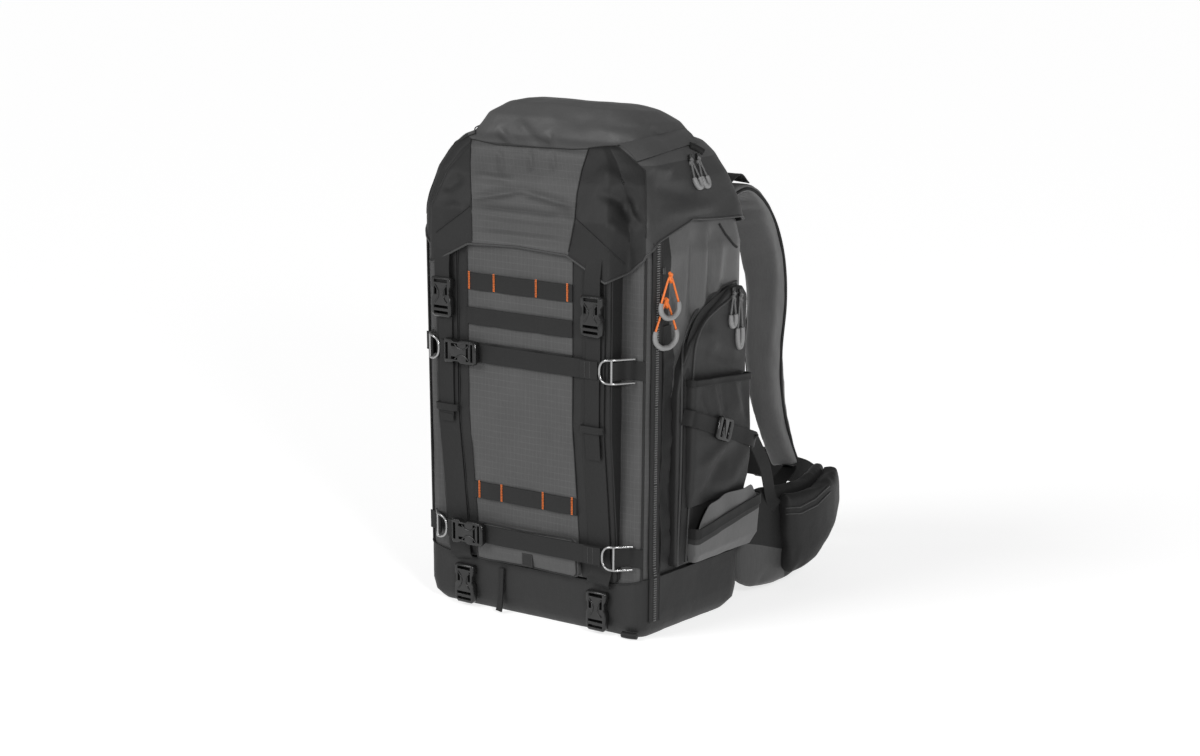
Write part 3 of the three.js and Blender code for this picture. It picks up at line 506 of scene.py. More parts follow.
front_strip = np.minimum(np.abs(bag_x) - STRIP_INNER_EDGE, STRIP_TURN - bag_y)
upper_side = np.minimum(np.minimum(bag_y - SATIN_FRONT, bag_z - SATIN_FOOT), SATIN_BACK - bag_y)
bag_cloth = cloth_finish("bag_cloth", BLACK, [("front_strip", RIPSTOP), ("upper_side", SATIN)])
bag_body = sewn("bag_body", bag, wall=7, marks={"front_strip": front_strip, "upper_side": upper_side})
dress(bag_body, bag_cloth, "nylon_black", "pack_body")


# Boot
# The foot of the bag stands in a cup of tough coated nylon, with a hem that climbs at the corners.
BOOT_GROW = 2.8
BOOT_HEIGHT = 66.0


def boot_hem(x):
    return BOOT_HEIGHT + 12 * np.minimum(1, np.abs(x) / HALF) ** 6


def boot_rings():
    lower = bag_rings(BAG_LEVELS, [0.006, 0.012, 0.022, 0.035, 0.05], BOOT_GROW)
    lower[0, :, 2] = 0
    lower[1, :, 2] = 4
    foot = lower[0]
    centre = foot.mean(0)
    under = [centre + (foot - centre) * share for share in (0.0, 0.3, 0.6, 0.85, 0.97)]
    full = lower[-1]
    upper = []
    for share in np.linspace(0, 1, 14)[1:]:
        ring = full.copy()
        ring[:, 2] = full[:, 2] + (boot_hem(full[:, 0]) - full[:, 2]) * share
        upper.append(ring)
    return np.array([*under, *lower, *upper])


boot = rumpled(boot_rings(), 0.8, 40, seed=2)
boot[:6, :, 2] = np.maximum(boot[:6, :, 2], 0)
boot[:5, :, 2] = 0
boot_cloth = cloth_finish("boot_cloth", (grey(0.017), 0.56, 0.0), weave=0.0011)
base_boot = sewn("boot", boot, wall=2.2)
dress(base_boot, boot_cloth, "coated_grey", "base_boot")


# Front pocket
# A raised pouch on the front. Its middle panel is grey ripstop between bands of black nylon,
# and it leans back towards the foot.
POCKET_PROUD, LEAN_FROM, LEAN = 26.0, 270.0, 20.0
POCKET_TOP = 497.0
MIDDLE_HALF = 84.0  # half of the grey middle panel
pocket_face = -DEEP - SEAM - POCKET_PROUD


def face_at(z):
    return pocket_face + LEAN * np.maximum(0, LEAN_FROM - z) / (LEAN_FROM - BOOT_HEIGHT)


def pocket_rings():
    back = -DEEP - SEAM
    rings = []
    rows = np.concatenate([[70, 70, 72, 75], np.linspace(78, POCKET_TOP, 112)])
    insets = np.concatenate([[6, 5, 2.5, 0.8], np.zeros(112)])
    for z, inset in zip(rows, insets):
        face = face_at(z) + inset / 2
        half = POCKET_HALF - inset
        bend = min(6, (back - face) / 2)
        side = [np.linspace((half, back), (half, face + bend), 8, endpoint=False)]
        side.append(arc((half - bend, face + bend), bend, 0, -math.pi / 2, 6))
        side.append(np.linspace((half - bend, face), (0, face), 46))
        right_side = np.vstack(side)
        outline = np.vstack([right_side, right_side[-2::-1] * (-1, 1)])
        rings.append(np.column_stack([outline, np.full(len(outline), z)]))
    first = rings[0].copy()
    first[:, 1] = back
    return np.array([first, *rings])


POCKET_FOLDS = [
    (500, 390, 498, 450, 10, 0.9),
    (545, 400, 548, 465, 9, -0.9),
    (520, 430, 560, 470, 10, 0.8),
    (470, 440, 470, 480, 5, -0.8),
]
pocket = rumpled(pocket_rings(), 0.9, 70, seed=3, closed=False)
pocket = folded(pocket, POCKET_FOLDS, both_sides=False, closed=False)
pocket_middle = MIDDLE_HALF - np.abs(pocket[..., 0])
pocket_cloth = cloth_finish("pocket_cloth", BLACK, [("middle", RIPSTOP)])
front_pocket = sewn("front_pocket_cloth", pocket, wall=1.8, marks={"middle": pocket_middle})
dress(front_pocket, pocket_cloth, "ripstop_grey", "front_pocket")


# Lid
# A hooded cap over the mouth of the bag: satin dome, ripstop front panel, black corner panels
# that reach down to the buckles, and coated sides that arch up over the side pockets.
LID_LEVELS = [
    (None, 1, 1, 1, 1, 1, 0),
    (-0.17, 0.985, 1, 0.99, 0.96, 1, 0),
    (0.214, 0.925, 0.94, 0.9, 0.5, 1.6, 0),
    (0.427, 0.865, 0.86, 0.81, 0.22, 2, 0.1),
    (0.564, 0.79, 0.79, 0.73, 0.1, 2.3, 0.2),
    (0.607, 0.73, 0.71, 0.67, 0, 2.3, 0.3),
    (0.812, 0.66, 0.57, 0.58, 0, 2, 0.7),
    (0.949, 0.54, 0.4, 0.45, 0, 1.6, 1),
    (1, 0.4, 0.24, 0.26, 0, 1, 1),
]
LID_ROWS = [16, 22, 13, 9, 6, 14, 11, 8]
LID_RISE, LID_OVERLAP, DOME_FALL = 117.0, 60.0, 22.0
LID_CLEAR, LID_PROUD, DOME_SEAM = 3.3, 28.9, 612
HEM_FRONT = [(0, 0), (0.44, -0.05), (0.78, -0.55), (0.88, -0.33), (1, -0.03)]
HEM_SIDE = [(-1, 0), (-0.83, 0.28), (-0.2, 0.6), (0.75, 0.47), (1, 0.3)]


def lid_hem(x, y):
    climb = np.where(y <= -DEEP, along(HEM_FRONT, np.abs(x) / HALF), along(HEM_SIDE, y / DEEP))
    return TALL - LID_OVERLAP + climb * LID_OVERLAP


def lid_ring(wide, front, back, proud, radius, fall, at):
    outline = bag_outline(
        HALF * wide + LID_CLEAR,
        -DEEP * front - LID_CLEAR,
        DEEP * back + LID_CLEAR,
        FRONT_RADIUS * radius + LID_CLEAR,
        BACK_RADIUS * min(radius, 1.3) + LID_CLEAR,
        LID_PROUD * proud,
    )
    x, y = outline.T
    if at is None:
        level = lid_hem(x, y)
    else:
        level = TALL + at * LID_RISE - DOME_FALL * fall * np.maximum(0, (y + DEEP) / (2 * DEEP) - 0.25)
    return np.column_stack([x, y, level + np.zeros(len(x))])


def lid_rings():
    corners = [lid_ring(*level[1:], level[0]) for level in LID_LEVELS]
    rings = []
    for low, high, rows in zip(corners, corners[1:], LID_ROWS):
        rings += [low + (high - low) * share for share in np.linspace(0, 1, rows, endpoint=False)]
    top = corners[-1]
    centre = top.mean(0)
    rings += [centre + (top - centre) * share for share in np.linspace(1, 0, 9)]
    return np.array(rings)


LID_FOLDS = [
    (474, 211, 572, 223, 6, 3.2),
    (474, 197, 520, 190, 4, -2.2),
    (520, 190, 571, 206, 4, -2.2),
    (476, 176, 512, 181, 4, 1.6),
    (476, 232, 566, 241, 4, -1.8),
    (480, 236, 568, 246, 5, -1.0),
    (560, 205, 574, 240, 6, 1.2),
    (500, 150, 502, 172, 2.5, -1.2),
    (530, 150, 531, 170, 2.5, -1.1),
    (552, 152, 553, 170, 2.5, -0.9),
    (478, 146, 584, 155, 4, 1.4),
    (620, 205, 640, 228, 6, -2.4),
    (598, 192, 632, 206, 6, -1.8),
    (600, 170, 628, 186, 7, 1.6),
    (606, 226, 634, 246, 7, 1.8),
    (446, 190, 462, 176, 6, -1.4),
    (440, 215, 460, 205, 6, 1.2),
    (648, 168, 668, 172, 6, 2.2),
    (650, 184, 690, 196, 9, -1.8),
    (660, 214, 712, 206, 8, 1.5),
    (500, 128, 512, 144, 4, -1.8),
    (520, 122, 540, 146, 5, 1.6),
    (548, 132, 552, 148, 4, -1.4),
    (588, 126, 640, 138, 7, 1.4),
    (560, 118, 640, 128, 7, -1.6),
    (650, 128, 668, 140, 4, -1.3),
]


def inside(places, outline):
    """How far places of the picture lie inside an outline, in pixels, and below zero outside it."""
    within = np.zeros(places.shape[:-1], bool)
    nearest = np.full(places.shape[:-1], 1e9)
    for (x0, y0), (x1, y1) in zip(outline, outline[1:] + outline[:1]):
        run = np.array([x1 - x0, y1 - y0], float)
        share = np.clip(((places - (x0, y0)) @ run) / (run @ run), 0, 1)
        distance = np.linalg.norm(places - (x0, y0) - share[..., None] * run, axis=-1)
        nearest = np.minimum(nearest, distance)
        crosses = (y0 > places[..., 1]) != (y1 > places[..., 1])
        meet = x0 + (places[..., 1] - y0) * (x1 - x0) / (y1 - y0 if y1 != y0 else 1e-9)
        within ^= crosses & (places[..., 0] < meet)
    return np.where(within, nearest, -nearest)


PANEL_EDGE = [(589, 148), (582, 170), (577, 194), (575, 218), (571, 240), (566, 264)]
FRONT_PANEL = [(470, 149), (530, 148), (572, 149.5), *PANEL_EDGE, (470, 270)]
CORNER_PANEL = [
    (603, 146.5), (617, 146), (630, 157), (645.5, 171), (646, 240), (646, 300), (566, 300),
    *PANEL_EDGE[::-1],
]
LEFT_EDGE = [(471, 139), (470, 162), (471, 194), (472, 246), (473, 290)]
LEFT_FRONT_PANEL = [*LEFT_EDGE[::-1], (497, 145), (530, 148), (600, 150), (600, 290)]
LEFT_CORNER_PANEL = [*LEFT_EDGE, (410, 290), (410, 235), (434, 185), (445, 150), (458, 124)]
lid = smoothed(lid_rings(), 3)
lid = rumpled(lid, 1.6, 55, seed=4)
lid = folded(lid, LID_FOLDS, both_sides=False)
lid_x, lid_y, lid_z = lid[..., 0], lid[..., 1], lid[..., 2]
left_front = (lid_x < 0) & (lid_x > -150)
seen_x = np.where(left_front, lid_x, np.abs(lid_x))
seen_lid = in_picture(widened(np.stack([seen_x, lid_y, lid_z], axis=-1)))
front_panel = np.where(left_front, inside(seen_lid, LEFT_FRONT_PANEL), inside(seen_lid, FRONT_PANEL))
corner_panel = np.where(left_front, inside(seen_lid, LEFT_CORNER_PANEL), inside(seen_lid, CORNER_PANEL))
lid_facing = -DEEP * 0.4 - lid_y
lid_marks = {
    "front_panel": np.minimum(front_panel, lid_facing),
    "corner_panel": np.minimum(corner_panel, lid_facing),
    "dome": lid_z - DOME_SEAM + np.clip(np.abs(lid_x) - 105, 0, 45) * 0.32,
}
lid_cloth = cloth_finish(
    "lid_cloth",
    COATED,
    [("dome", (grey(0.066), 0.46, 0.0)), ("front_panel", RIPSTOP), ("corner_panel", BLACK)],
)
lid_shell = sewn("lid_cloth", lid, wall=2.4, marks=lid_marks)
dress(lid_shell, lid_cloth, "coated_grey", "lid")


# Finishes of straps, zips and hardware
# Woven webbing, moulded plastic, bent steel wire and the coloured pull cords.
def plain_finish(name, colour, rough, metal=0.0):
    """Moulded plastic, cord or wire, with slow changes of tone and a fine grain."""
    finish, tree, shader = new_finish(name)
    place = put(tree, "TexCoord").outputs["Object"]
    cloud = put(tree, "TexNoise", Vector=place, Scale=60.0, Detail=4.0).outputs["Fac"]
    fine = put(tree, "TexNoise", Vector=place, Scale=1400.0, Detail=2.0).outputs["Fac"]
    tone = sums(tree, "MULTIPLY_ADD", cloud, 0.3, 0.85)
    painted(tree, shader, colour, tone)
    tree.links.new(sums(tree, "MULTIPLY_ADD", cloud, 0.2, rough - 0.1), shader.inputs["Roughness"])
    shader.inputs["Metallic"].default_value = metal
    relief = put(tree, "Bump", Strength=0.15, Distance=0.0001, Height=fine)
    tree.links.new(relief.outputs[0], shader.inputs["Normal"])
    return finish


FINISHES = {
    "ripstop_grey": cloth_finish("ripstop_grey", RIPSTOP),
    "coated_grey": cloth_finish("coated_grey", COATED),
    "nylon_black": cloth_finish("nylon_black", BLACK),
    "nylon_grey": cloth_finish("nylon_grey", (grey(0.1), 0.5, 0.0)),
    "stretch_black": cloth_finish("stretch_black", (grey(0.03), 0.66, 0.0)),
    "harness_grey": cloth_finish("harness_grey", (grey(0.12), 0.45, 0.0)),
    "webbing_black": cloth_finish("webbing_black", (grey(0.0095), 0.62, 0.0), weave=0.0016),
    "zip_tape": cloth_finish("zip_tape", (grey(0.02), 0.7, 0.0)),
    "buckle_plastic": plain_finish("buckle_plastic", grey(0.009), 0.26),
    "hook_steel": plain_finish("hook_steel", grey(0.36), 0.28, metal=1.0),
    "pull_grey": plain_finish("pull_grey", grey(0.22), 0.5),
    "cord_orange": plain_finish("cord_orange", (0.75, 0.17, 0.025, 1), 0.5),
}


# Webbing
# Black woven straps: short strips across the front pocket, the two upright straps under them,
# and the lash straps whose ends reach the steel hooks.
def curve_through(points, spacing=3.0):
    """A smooth line through points."""
    points = np.array(points, float)
    knots = np.vstack([2 * points[0] - points[1], points, 2 * points[-1] - points[-2]])
    line = []
    for a, b, c, d in zip(knots, knots[1:], knots[2:], knots[3:]):
        steps = max(1, round(float(np.linalg.norm(c - b)) / spacing))
        t = np.arange(steps)[:, None] / steps
        bend, twist = 2 * a - 5 * b + 4 * c - d, 3 * b - a - 3 * c + d
        line.append(0.5 * (2 * b + (c - a) * t + bend * t**2 + twist * t**3))
    return np.vstack([*line, points[-1:]])


def unit(vectors):
    return vectors / np.maximum(np.linalg.norm(vectors, axis=-1, keepdims=True), 1e-9)


def swept(line, section, across, widths=None, looped=False):
    """Rings of a section carried along a line, its first axis kept towards a direction."""
    line = np.asarray(line, float)
    if looped:
        tangent = unit(np.roll(line, -1, axis=0) - np.roll(line, 1, axis=0))
    else:
        tangent = unit(np.gradient(line, axis=0))
    wide = np.zeros_like(line) + np.array(across, float)
    wide = unit(wide - (wide * tangent).sum(1, keepdims=True) * tangent)
    up = np.cross(tangent, wide)
    section = np.vstack([section, section[:1]])
    share = np.ones(len(line)) if widths is None else np.asarray(widths, float)
    spread = section[None, :, :1] * share[:, None, None] * wide[:, None]
    rings = line[:, None] + spread + section[None, :, 1:] * up[:, None]
    if looped:
        return np.concatenate([rings, rings[:1]])
    ends = [np.repeat(line[i][None, None], rings.shape[1], axis=1) for i in (0, -1)]
    return np.concatenate([ends[0], rings, ends[1]])


def round_section(radius, sides=8):
    turn = np.linspace(0, 2 * math.pi, sides, endpoint=False)
    return np.column_stack([radius * np.cos(turn), radius * np.sin(turn)])


def strap_section(width, thick):
    """A woven strap from its end: flat, with rounded edges that are a little thicker."""
    half, rise = width / 2, thick / 2
    top = [(-half, 0.35 * rise), (-half + 0.3, 0.85 * rise), (-half + 1.2, rise), (-half + 2.4, 0.8 * rise)]
    top += [(0, 0.8 * rise)] + [(-x, y) for x, y in reversed(top)]
    return np.array(top + [(x, -y) for x, y in reversed(top)])


def webbing(
    name, points, width, across, *nodes,
    thick=2.0, slot="webbing_black", widen=True, spacing=3.0, widths=(1, 1),
):
    """A strap along a line. Its widths are shares of its width, evenly spread from end to end."""
    line = curve_through(points, spacing)
    shares = np.interp(np.linspace(0, 1, len(line)), np.linspace(0, 1, len(widths)), widths)
    piece = sewn(name, swept(line, strap_section(width, thick), across, shares), widen=widen, angle=35)
    return dress(piece, FINISHES[slot], slot, *nodes)


UPRIGHT_X = 117.0
STRIP_TOPS = [450.0, 405.0, 361.0, 175.0]
STRIP_DROP = 11  # from the top of a strip to its middle
BAR_PLACES = [(-79, -39, 28, 77)] * 3 + [(-75, -38, 30, 77)]
for i, (top, bars) in enumerate(zip(STRIP_TOPS, BAR_PLACES)):
    level = top - STRIP_DROP
    stops = [-MIDDLE_HALF, *bars, MIDDLE_HALF]
    points = []
    for start, end in zip(stops, stops[1:]):
        loose = 1.5 if end - start > 20 else 0.2
        for share in np.linspace(0, 1, 6, endpoint=False):
            x = start + (end - start) * share
            points.append((x, face_at(level) - SEAM - 1.2 - loose * math.sin(math.pi * share), level))
    points.append((MIDDLE_HALF, face_at(level) - SEAM - 1.2, level))
    webbing(f"front_strip_{i + 1}", points, 22, (0, 0, 1), f"daisy_strip_{i + 1}")

for word, side in SIDES:
    run = [(side * UPRIGHT_X, face_at(z) - SEAM - 1, z) for z in (473, 420, 350, 270, 180, 100, 84)]
    run += [(side * (UPRIGHT_X - 3), -124, 72), (side * (UPRIGHT_X - 5), -120.3, 65)]
    webbing(f"upright_strap_{word}", run, 34, (1, 0, 0), f"front_strap_{word}")

LASH_REACH = 127.0
LASHES = (("mid", 347.0, 2.3), ("low", 107.0, 8.3))  # height, and how far out over the pocket


def lash_plane(height, proud):
    return face_at(height + 12) - proud - SEAM - 1


for name, height, proud in LASHES:
    plane = lash_plane(height, proud)
    run = []
    for x in np.linspace(-LASH_REACH, LASH_REACH, 22):
        slack = 0.8 * math.sin(x / 23.0) ** 2 * (abs(x) < 100)
        run.append((x, plane - slack, height))
    webbing(f"lash_{name}", run, 24, (0, 0, 1), f"lash_strap_{name}")

# Tails of the lid straps hang down over the upright straps and pass through their keepers
KEEPER_Z = 271
KEEPER_LOOP = ((-17.5, 2.4), (-14, 7.2), (14, 7.2), (17.5, 2.4))
for word, side, tail_foot in (("right", 1, 232), ("left", -1, 252)):
    run = [(side * (UPRIGHT_X + 1), face_at(z) - 3.8, z) for z in (392, 372, 358)]
    run += [(side * UPRIGHT_X, face_at(z) - 4.2, z) for z in (334, 310, 285, 270)]
    run += [(side * (UPRIGHT_X + 1), face_at(z) - 5.5, z) for z in (255, tail_foot + 10, tail_foot)]
    webbing(f"strap_tail_{word}", run, 22, (1, 0, 0), thick=1.4)
    loop = [(side * UPRIGHT_X + x, face_at(KEEPER_Z) - y, KEEPER_Z) for x, y in KEEPER_LOOP]
    webbing(f"keeper_{word}", loop, 9, (0, 0, 1), thick=1.6)

# Straps from the lid's corners down into its buckles
LID_STRAP = ((-139.4, 500), (-144.4, 478), (-147.2, 458), (-147.2, 440), (-145.8, 424))
for word, side in SIDES:
    run = [(side * (UPRIGHT_X + 2), y, z) for y, z in LID_STRAP]
    webbing(f"lid_strap_{word}", run, 24, (1, 0, 0), thick=1.8)

run = [(-50, -118.4, 60), (-50, -119.6, 33), (-51, -121.5, 12), (-52, -122.6, 3)]
webbing("foot_tab", run, 8, (1, 0, 0), "pull_tab", thick=3, widths=(1.1, 0.9, 1.0, 1.25))


# Steel hooks
# Bent wire hooks at the ends of the lash straps, each with a bar that the strap is sewn round.
HOOK_RISE, WIRE_RADIUS, BAR_RADIUS = 15.0, 1.7, 1.4
ANCHOR_END = [(151, -121), (157, -115.4), (166, -114.6), (175.5, -112.4)]


def hook_rings(height, proud):
    """The lines of a hook's bow and of its bar."""
    plane = lash_plane(height, proud) - 1.4
    rise = HOOK_RISE
    bow = [(1, 1), (0.75, 1), (0.5, 1), (0.25, 0.95), (0.1, 0.75), (0.02, 0.4), (0, 0)]
    bow += [(share, -up) for share, up in reversed(bow[:-1])]
    x = [(0, LASH_REACH + 1.7), (0.4, POCKET_HALF + 4), (1, LASH_REACH + 35)]
    y = [(0.4, plane), (1, -DEEP - SEAM - 2.8)]
    points = [(along(x, share), along(y, share), height + up * rise) for share, up in bow]
    bar = [(along(x, 0.45), along(y, 0.45), height + up * rise) for up in (-1, 0, 1)]
    return points, bar


for name, height, proud in LASHES:
    for word, side in SIDES:
        bow, bar = hook_rings(height, proud)
        for piece_name, line, step, radius, nodes in (
            ("wire_hook", bow, 2, WIRE_RADIUS, [f"hook_{name}_{word}"]),
            ("hook_bar", bar, 4, BAR_RADIUS, []),
        ):
            line = curve_through(line, step) * (side, 1, 1)
            rings = swept(line, round_section(radius, 10), (0.3, 0.9, 0.1))
            wire = sewn(f"{piece_name}_{name}_{word}", rings)
            dress(wire, FINISHES["hook_steel"], "hook_steel", *nodes)
        plane = lash_plane(height, proud)
        fold = [(LASH_REACH - 28, plane - 1.6), (LASH_REACH - 14, plane - 2.6), (LASH_REACH - 1, plane - 1.8)]
        fold = [(side * x, y, height) for x, y in fold]
        webbing(f"lash_end_{name}_{word}", fold, 23, (0, 0, 1), thick=1.8)
        hold = [(142.5, plane + 0.6), (147, plane + 8), *ANCHOR_END]
        hold = [(side * x, y, height) for x, y in hold]
        webbing(f"lash_anchor_{name}_{word}", hold, 24, (0, 0, 1), thick=1.8)


# Side pockets
# A zipped pocket of black nylon on each side, padded, with an arched front edge.
POCKET_EDGE = [
    (-54, 86), (-59, 92), (-59, 200), (-59, 310), (-52, 340), (-32, 372), (6, 404), (52, 430),
    (80, 431), (90, 420), (92, 300), (94, 180), (96, 92), (90, 86), (20, 85),
]
SIDE_FACE = HALF + SEAM
SIDE_POCKET_FACE = SIDE_FACE + 12


def evenly(points, count):
    """The same closed outline as evenly spaced points."""
    points = np.vstack([points, points[:1]]).astype(float)
    run = np.concatenate([[0], np.cumsum(np.linalg.norm(np.diff(points, axis=0), axis=1))])
    at = np.linspace(0, run[-1], count)
    return np.column_stack([np.interp(at, run, points[:, axis]) for axis in (0, 1)])


def crowned(outline, height, edge, crown, rows=16):
    """A padded panel over an outline, with a rounded edge and a crown towards the middle.

    Its points are how far they stand out, then the outline's two measures.
    """
    middle = outline.mean(0)
    reach = np.linalg.norm(outline - middle, axis=1)[:, None]
    turn = np.linspace(0, math.pi / 2, 7)
    steps = [(edge * (1 - math.cos(a)), (height - edge) + edge * math.sin(a)) for a in turn]
    steps = [(0.0, 0.0), (0.0, (height - edge) / 2), *steps]
    rings = []
    for inset, out in steps:
        places = middle + (outline - middle) * (1 - inset / reach)
        rings.append(np.column_stack([np.full(len(outline), out), places]))
    last = rings[-1]
    for share in np.linspace(0, 1, rows)[1:]:
        ring = last.copy()
        ring[:, 1:] = middle + (last[:, 1:] - middle) * (1 - share)
        ring[:, 0] = height + crown * math.sin(share * math.pi / 2)
        rings.append(ring)
    return np.array(rings)


SIDE_FOLDS = [
    (706, 330, 716, 350, 5, 1.0),
    (700, 345, 735, 362, 5, -1.0),
    (696, 300, 712, 330, 3, -0.8),
]
edge = evenly(POCKET_EDGE, 150)
side = crowned(edge, 12, 4, 1.5, 30)
side = np.stack([SIDE_FACE + side[..., 0], side[..., 1], side[..., 2]], axis=-1)
side = rumpled(side, 0.9, 45, seed=5)
side = folded(side, SIDE_FOLDS)
side_cloth = cloth_finish("side_pocket_cloth", (grey(0.02), 0.46, 0.0))
side_pieces = []
for word, flip in SIDES:
    piece = sewn(f"side_pocket_{word}_cloth", side * (flip, 1, 1))
    dress(piece, side_cloth, "nylon_black", f"side_pocket_{word}")
    side_pieces.append(piece)


# Stretch and foot pockets
# Open pouches on the side pockets: a stretch pocket gathered into an elastic rim, and below it
# a grey pocket for a tripod's foot with a black band across it.
POUCH_BASE = SIDE_POCKET_FACE + SEAM


def stretch_rim(y):
    return 326 - 10 * (y + 44) / 130


def foot_rim(y):
    return 132 + 22 * (y + 36) / 143


def pouch_rings(levels, rim, rows):
    """An open pouch. Its levels are rows of height, depth, front and back, and the last one is its rim."""
    heights = np.array([level[0] if level[0] is not None else rim(0.0) for level in levels], float)
    depth, front, back = np.array([level[1:] for level in levels], float).T
    rings = []
    for share in np.linspace(0, 1, rows):
        z = heights[0] + (heights[-1] - heights[0]) * share
        d, f, b = (np.interp(z, heights, values) for values in (depth, front, back))
        radius = min(6.0, d / 2.2)
        turn = np.linspace(0, math.pi / 2, 6)
        rise, run = radius * np.sin(turn), radius * np.cos(turn)
        out = POUCH_BASE + d - radius
        front_arc = np.column_stack([out + rise, f + radius - run])
        back_arc = np.column_stack([out + run, b - radius + rise])
        face = np.linspace(front_arc[-1], back_arc[0], 44)[1:-1]
        outline = np.vstack([[(POUCH_BASE, f)], front_arc, face, back_arc, [(POUCH_BASE, b)]])
        y = outline[:, 1]
        level = heights[0] + (rim(y) - heights[0]) * share
        rings.append(np.column_stack([outline, level]))
    first = rings[0].copy()
    first[:, 0] = POUCH_BASE
    return np.array([first, *rings])


STRETCH_FOLDS = [
    (700, 388, 712, 420, 2.5, -1.0),
    (712, 384, 720, 420, 2.5, 1.2),
    (722, 380, 726, 410, 2.5, -1.0),
    (732, 378, 740, 410, 3, 1.2),
    (742, 378, 748, 420, 3, -1.2),
    (700, 470, 740, 430, 6, 1.6),
    (704, 500, 728, 452, 5, -1.8),
    (726, 490, 748, 448, 6, 1.6),
]
stretch = pouch_rings(
    [(162, 7, -40, 84), (184, 12, -43, 86), (250, 14, -44, 86), (None, 13, -44, 86)],
    stretch_rim,
    46,
)
stretch = rumpled(stretch, 1.3, 34, seed=6, stretch=(1, 1, 0.45), closed=False)
stretch = folded(stretch, STRETCH_FOLDS, closed=False)
foot = pouch_rings(
    [(88, 9, -30, 98), (100, 17, -34, 104), (None, 18, -36, 107)],
    foot_rim,
    26,
)
foot = rumpled(foot, 1.2, 36, seed=7, closed=False)
stretch_cloth = cloth_finish("stretch_cloth", (grey(0.017), 0.55, 0.0))
foot_cloth = cloth_finish("foot_pocket_cloth", (grey(0.1), 0.48, 0.0), [("band", (grey(0.026), 0.7, 0.0))])
foot_band = 5.5 - np.abs(foot[..., 2] - (118 + 24 * (foot[..., 1] + 36) / 143))
for word, flip in SIDES:
    piece = sewn(f"stretch_pocket_{word}_cloth", stretch * (flip, 1, 1), wall=1.6)
    dress(piece, stretch_cloth, "stretch_black", f"stretch_pocket_{word}")
    piece = sewn(f"foot_pocket_{word}_cloth", foot * (flip, 1, 1), wall=1.6, marks={"band": foot_band})
    dress(piece, foot_cloth, "nylon_grey", f"foot_pocket_{word}")

SIDE_STRAP_X = POUCH_BASE + 14 + SEAM + 1
COMPRESSION_STRAP = np.array([
    (SIDE_POCKET_FACE + 2.6, -52, 281), (SIDE_STRAP_X + 0.6, -46, 279), (SIDE_STRAP_X + 1, -16, 268),
    (SIDE_STRAP_X + 1, 16, 256), (SIDE_STRAP_X + 1, 60, 240), (SIDE_STRAP_X + 0.8, 90, 229),
    (SIDE_STRAP_X - 17, 115, 220),
])
for word, flip in SIDES:
    run = COMPRESSION_STRAP * (flip, 1, 1)
    webbing(f"compression_strap_{word}", run, 20, (0, 0.35, 0.94), f"side_strap_{word}")


# Harness
# Padded straps, belt and back of grey and black cloth over foam, with webbing that adjusts them.
PAD_GRID, PAD_INSET, PAD_SWELL = 5.0, 1.5, 5.0  # size of its faces, start inside, most swelling
PAD_PRESSURE, PAD_FRAMES = 4.0, 20


def puffed(name, node, finish, slot):
    """Foam under cloth: a copy of the frame's solid, blown up a little by a cloth simulation."""
    piece = bpy.data.objects.new(name, frame["nodes"][node].data.copy())
    bpy.context.scene.collection.objects.link(piece)
    faced_out(piece)
    piece.data.remesh_voxel_size = PAD_GRID * MM
    bpy.ops.object.voxel_remesh()
    mesh = piece.data
    count = len(mesh.vertices)
    start, normals = np.zeros(count * 3), np.zeros(count * 3)
    mesh.vertices.foreach_get("co", start)
    mesh.vertex_normals.foreach_get("vector", normals)
    start, normals = start.reshape(-1, 3), normals.reshape(-1, 3)
    begin = start - normals * PAD_INSET * MM
    mesh.vertices.foreach_set("co", begin.ravel())
    mesh.update()
    cloth = piece.modifiers.new("puff", "CLOTH")
    cloth.settings.quality = 4
    cloth.settings.use_pressure = True
    cloth.settings.uniform_pressure_force = PAD_PRESSURE
    cloth.settings.effector_weights.gravity = 0
    cloth.point_cache.frame_end = PAD_FRAMES
    for step in range(1, PAD_FRAMES + 1):
        bpy.context.scene.frame_set(step)
    posed = piece.evaluated_get(bpy.context.evaluated_depsgraph_get())
    blown = np.zeros(count * 3)
    posed.data.vertices.foreach_get("co", blown)
    piece.modifiers.remove(cloth)
    bpy.context.scene.frame_set(1)
    move = blown.reshape(-1, 3) - begin
    size = np.linalg.norm(move, axis=1, keepdims=True)
    move *= np.minimum(1, PAD_SWELL * MM / np.maximum(size, 1e-9))
    mesh.vertices.foreach_set("co", (begin + move).ravel())
    mesh.update()
    only(piece)
    bpy.ops.object.mode_set(mode="EDIT")
    bpy.ops.mesh.select_all(action="SELECT")
    bpy.ops.mesh.vertices_smooth(factor=0.5, repeat=3)
    bpy.ops.object.mode_set(mode="OBJECT")
    rounder = piece.modifiers.new("round", "SUBSURF")
    rounder.levels = rounder.render_levels = 1
    bpy.ops.object.modifier_apply(modifier=rounder.name)
    bpy.ops.object.shade_smooth()
    dress(piece, finish, slot, node)
    return piece


harness_cloth = cloth_finish("harness_cloth", (grey(0.14), 0.4, 0.0))
pad_black = cloth_finish("pad_black", (grey(0.011), 0.6, 0.0))
for word, _ in SIDES:
    puffed(f"shoulder_pad_{word}", f"shoulder_strap_{word}", harness_cloth, "harness_grey")
    puffed(f"belt_pad_{word}", f"belt_wing_{word}", pad_black, "harness_grey")
    puffed(f"belt_pouch_{word}", f"belt_pocket_{word}", pad_black, "nylon_black")
puffed("back_pad", "back_panel", harness_cloth, "harness_grey")
puffed("lumbar_cushion", "lumbar_pad", harness_cloth, "harness_grey")


# Seams and piping
# Corded piping and folded seams where the panels meet, laid on the finished cloth.
TRIM_BLACK = cloth_finish("piping_black", (grey(0.012), 0.6, 0.0))
TRIM_GREY = cloth_finish("piping_grey", (grey(0.04), 0.45, 0.0))


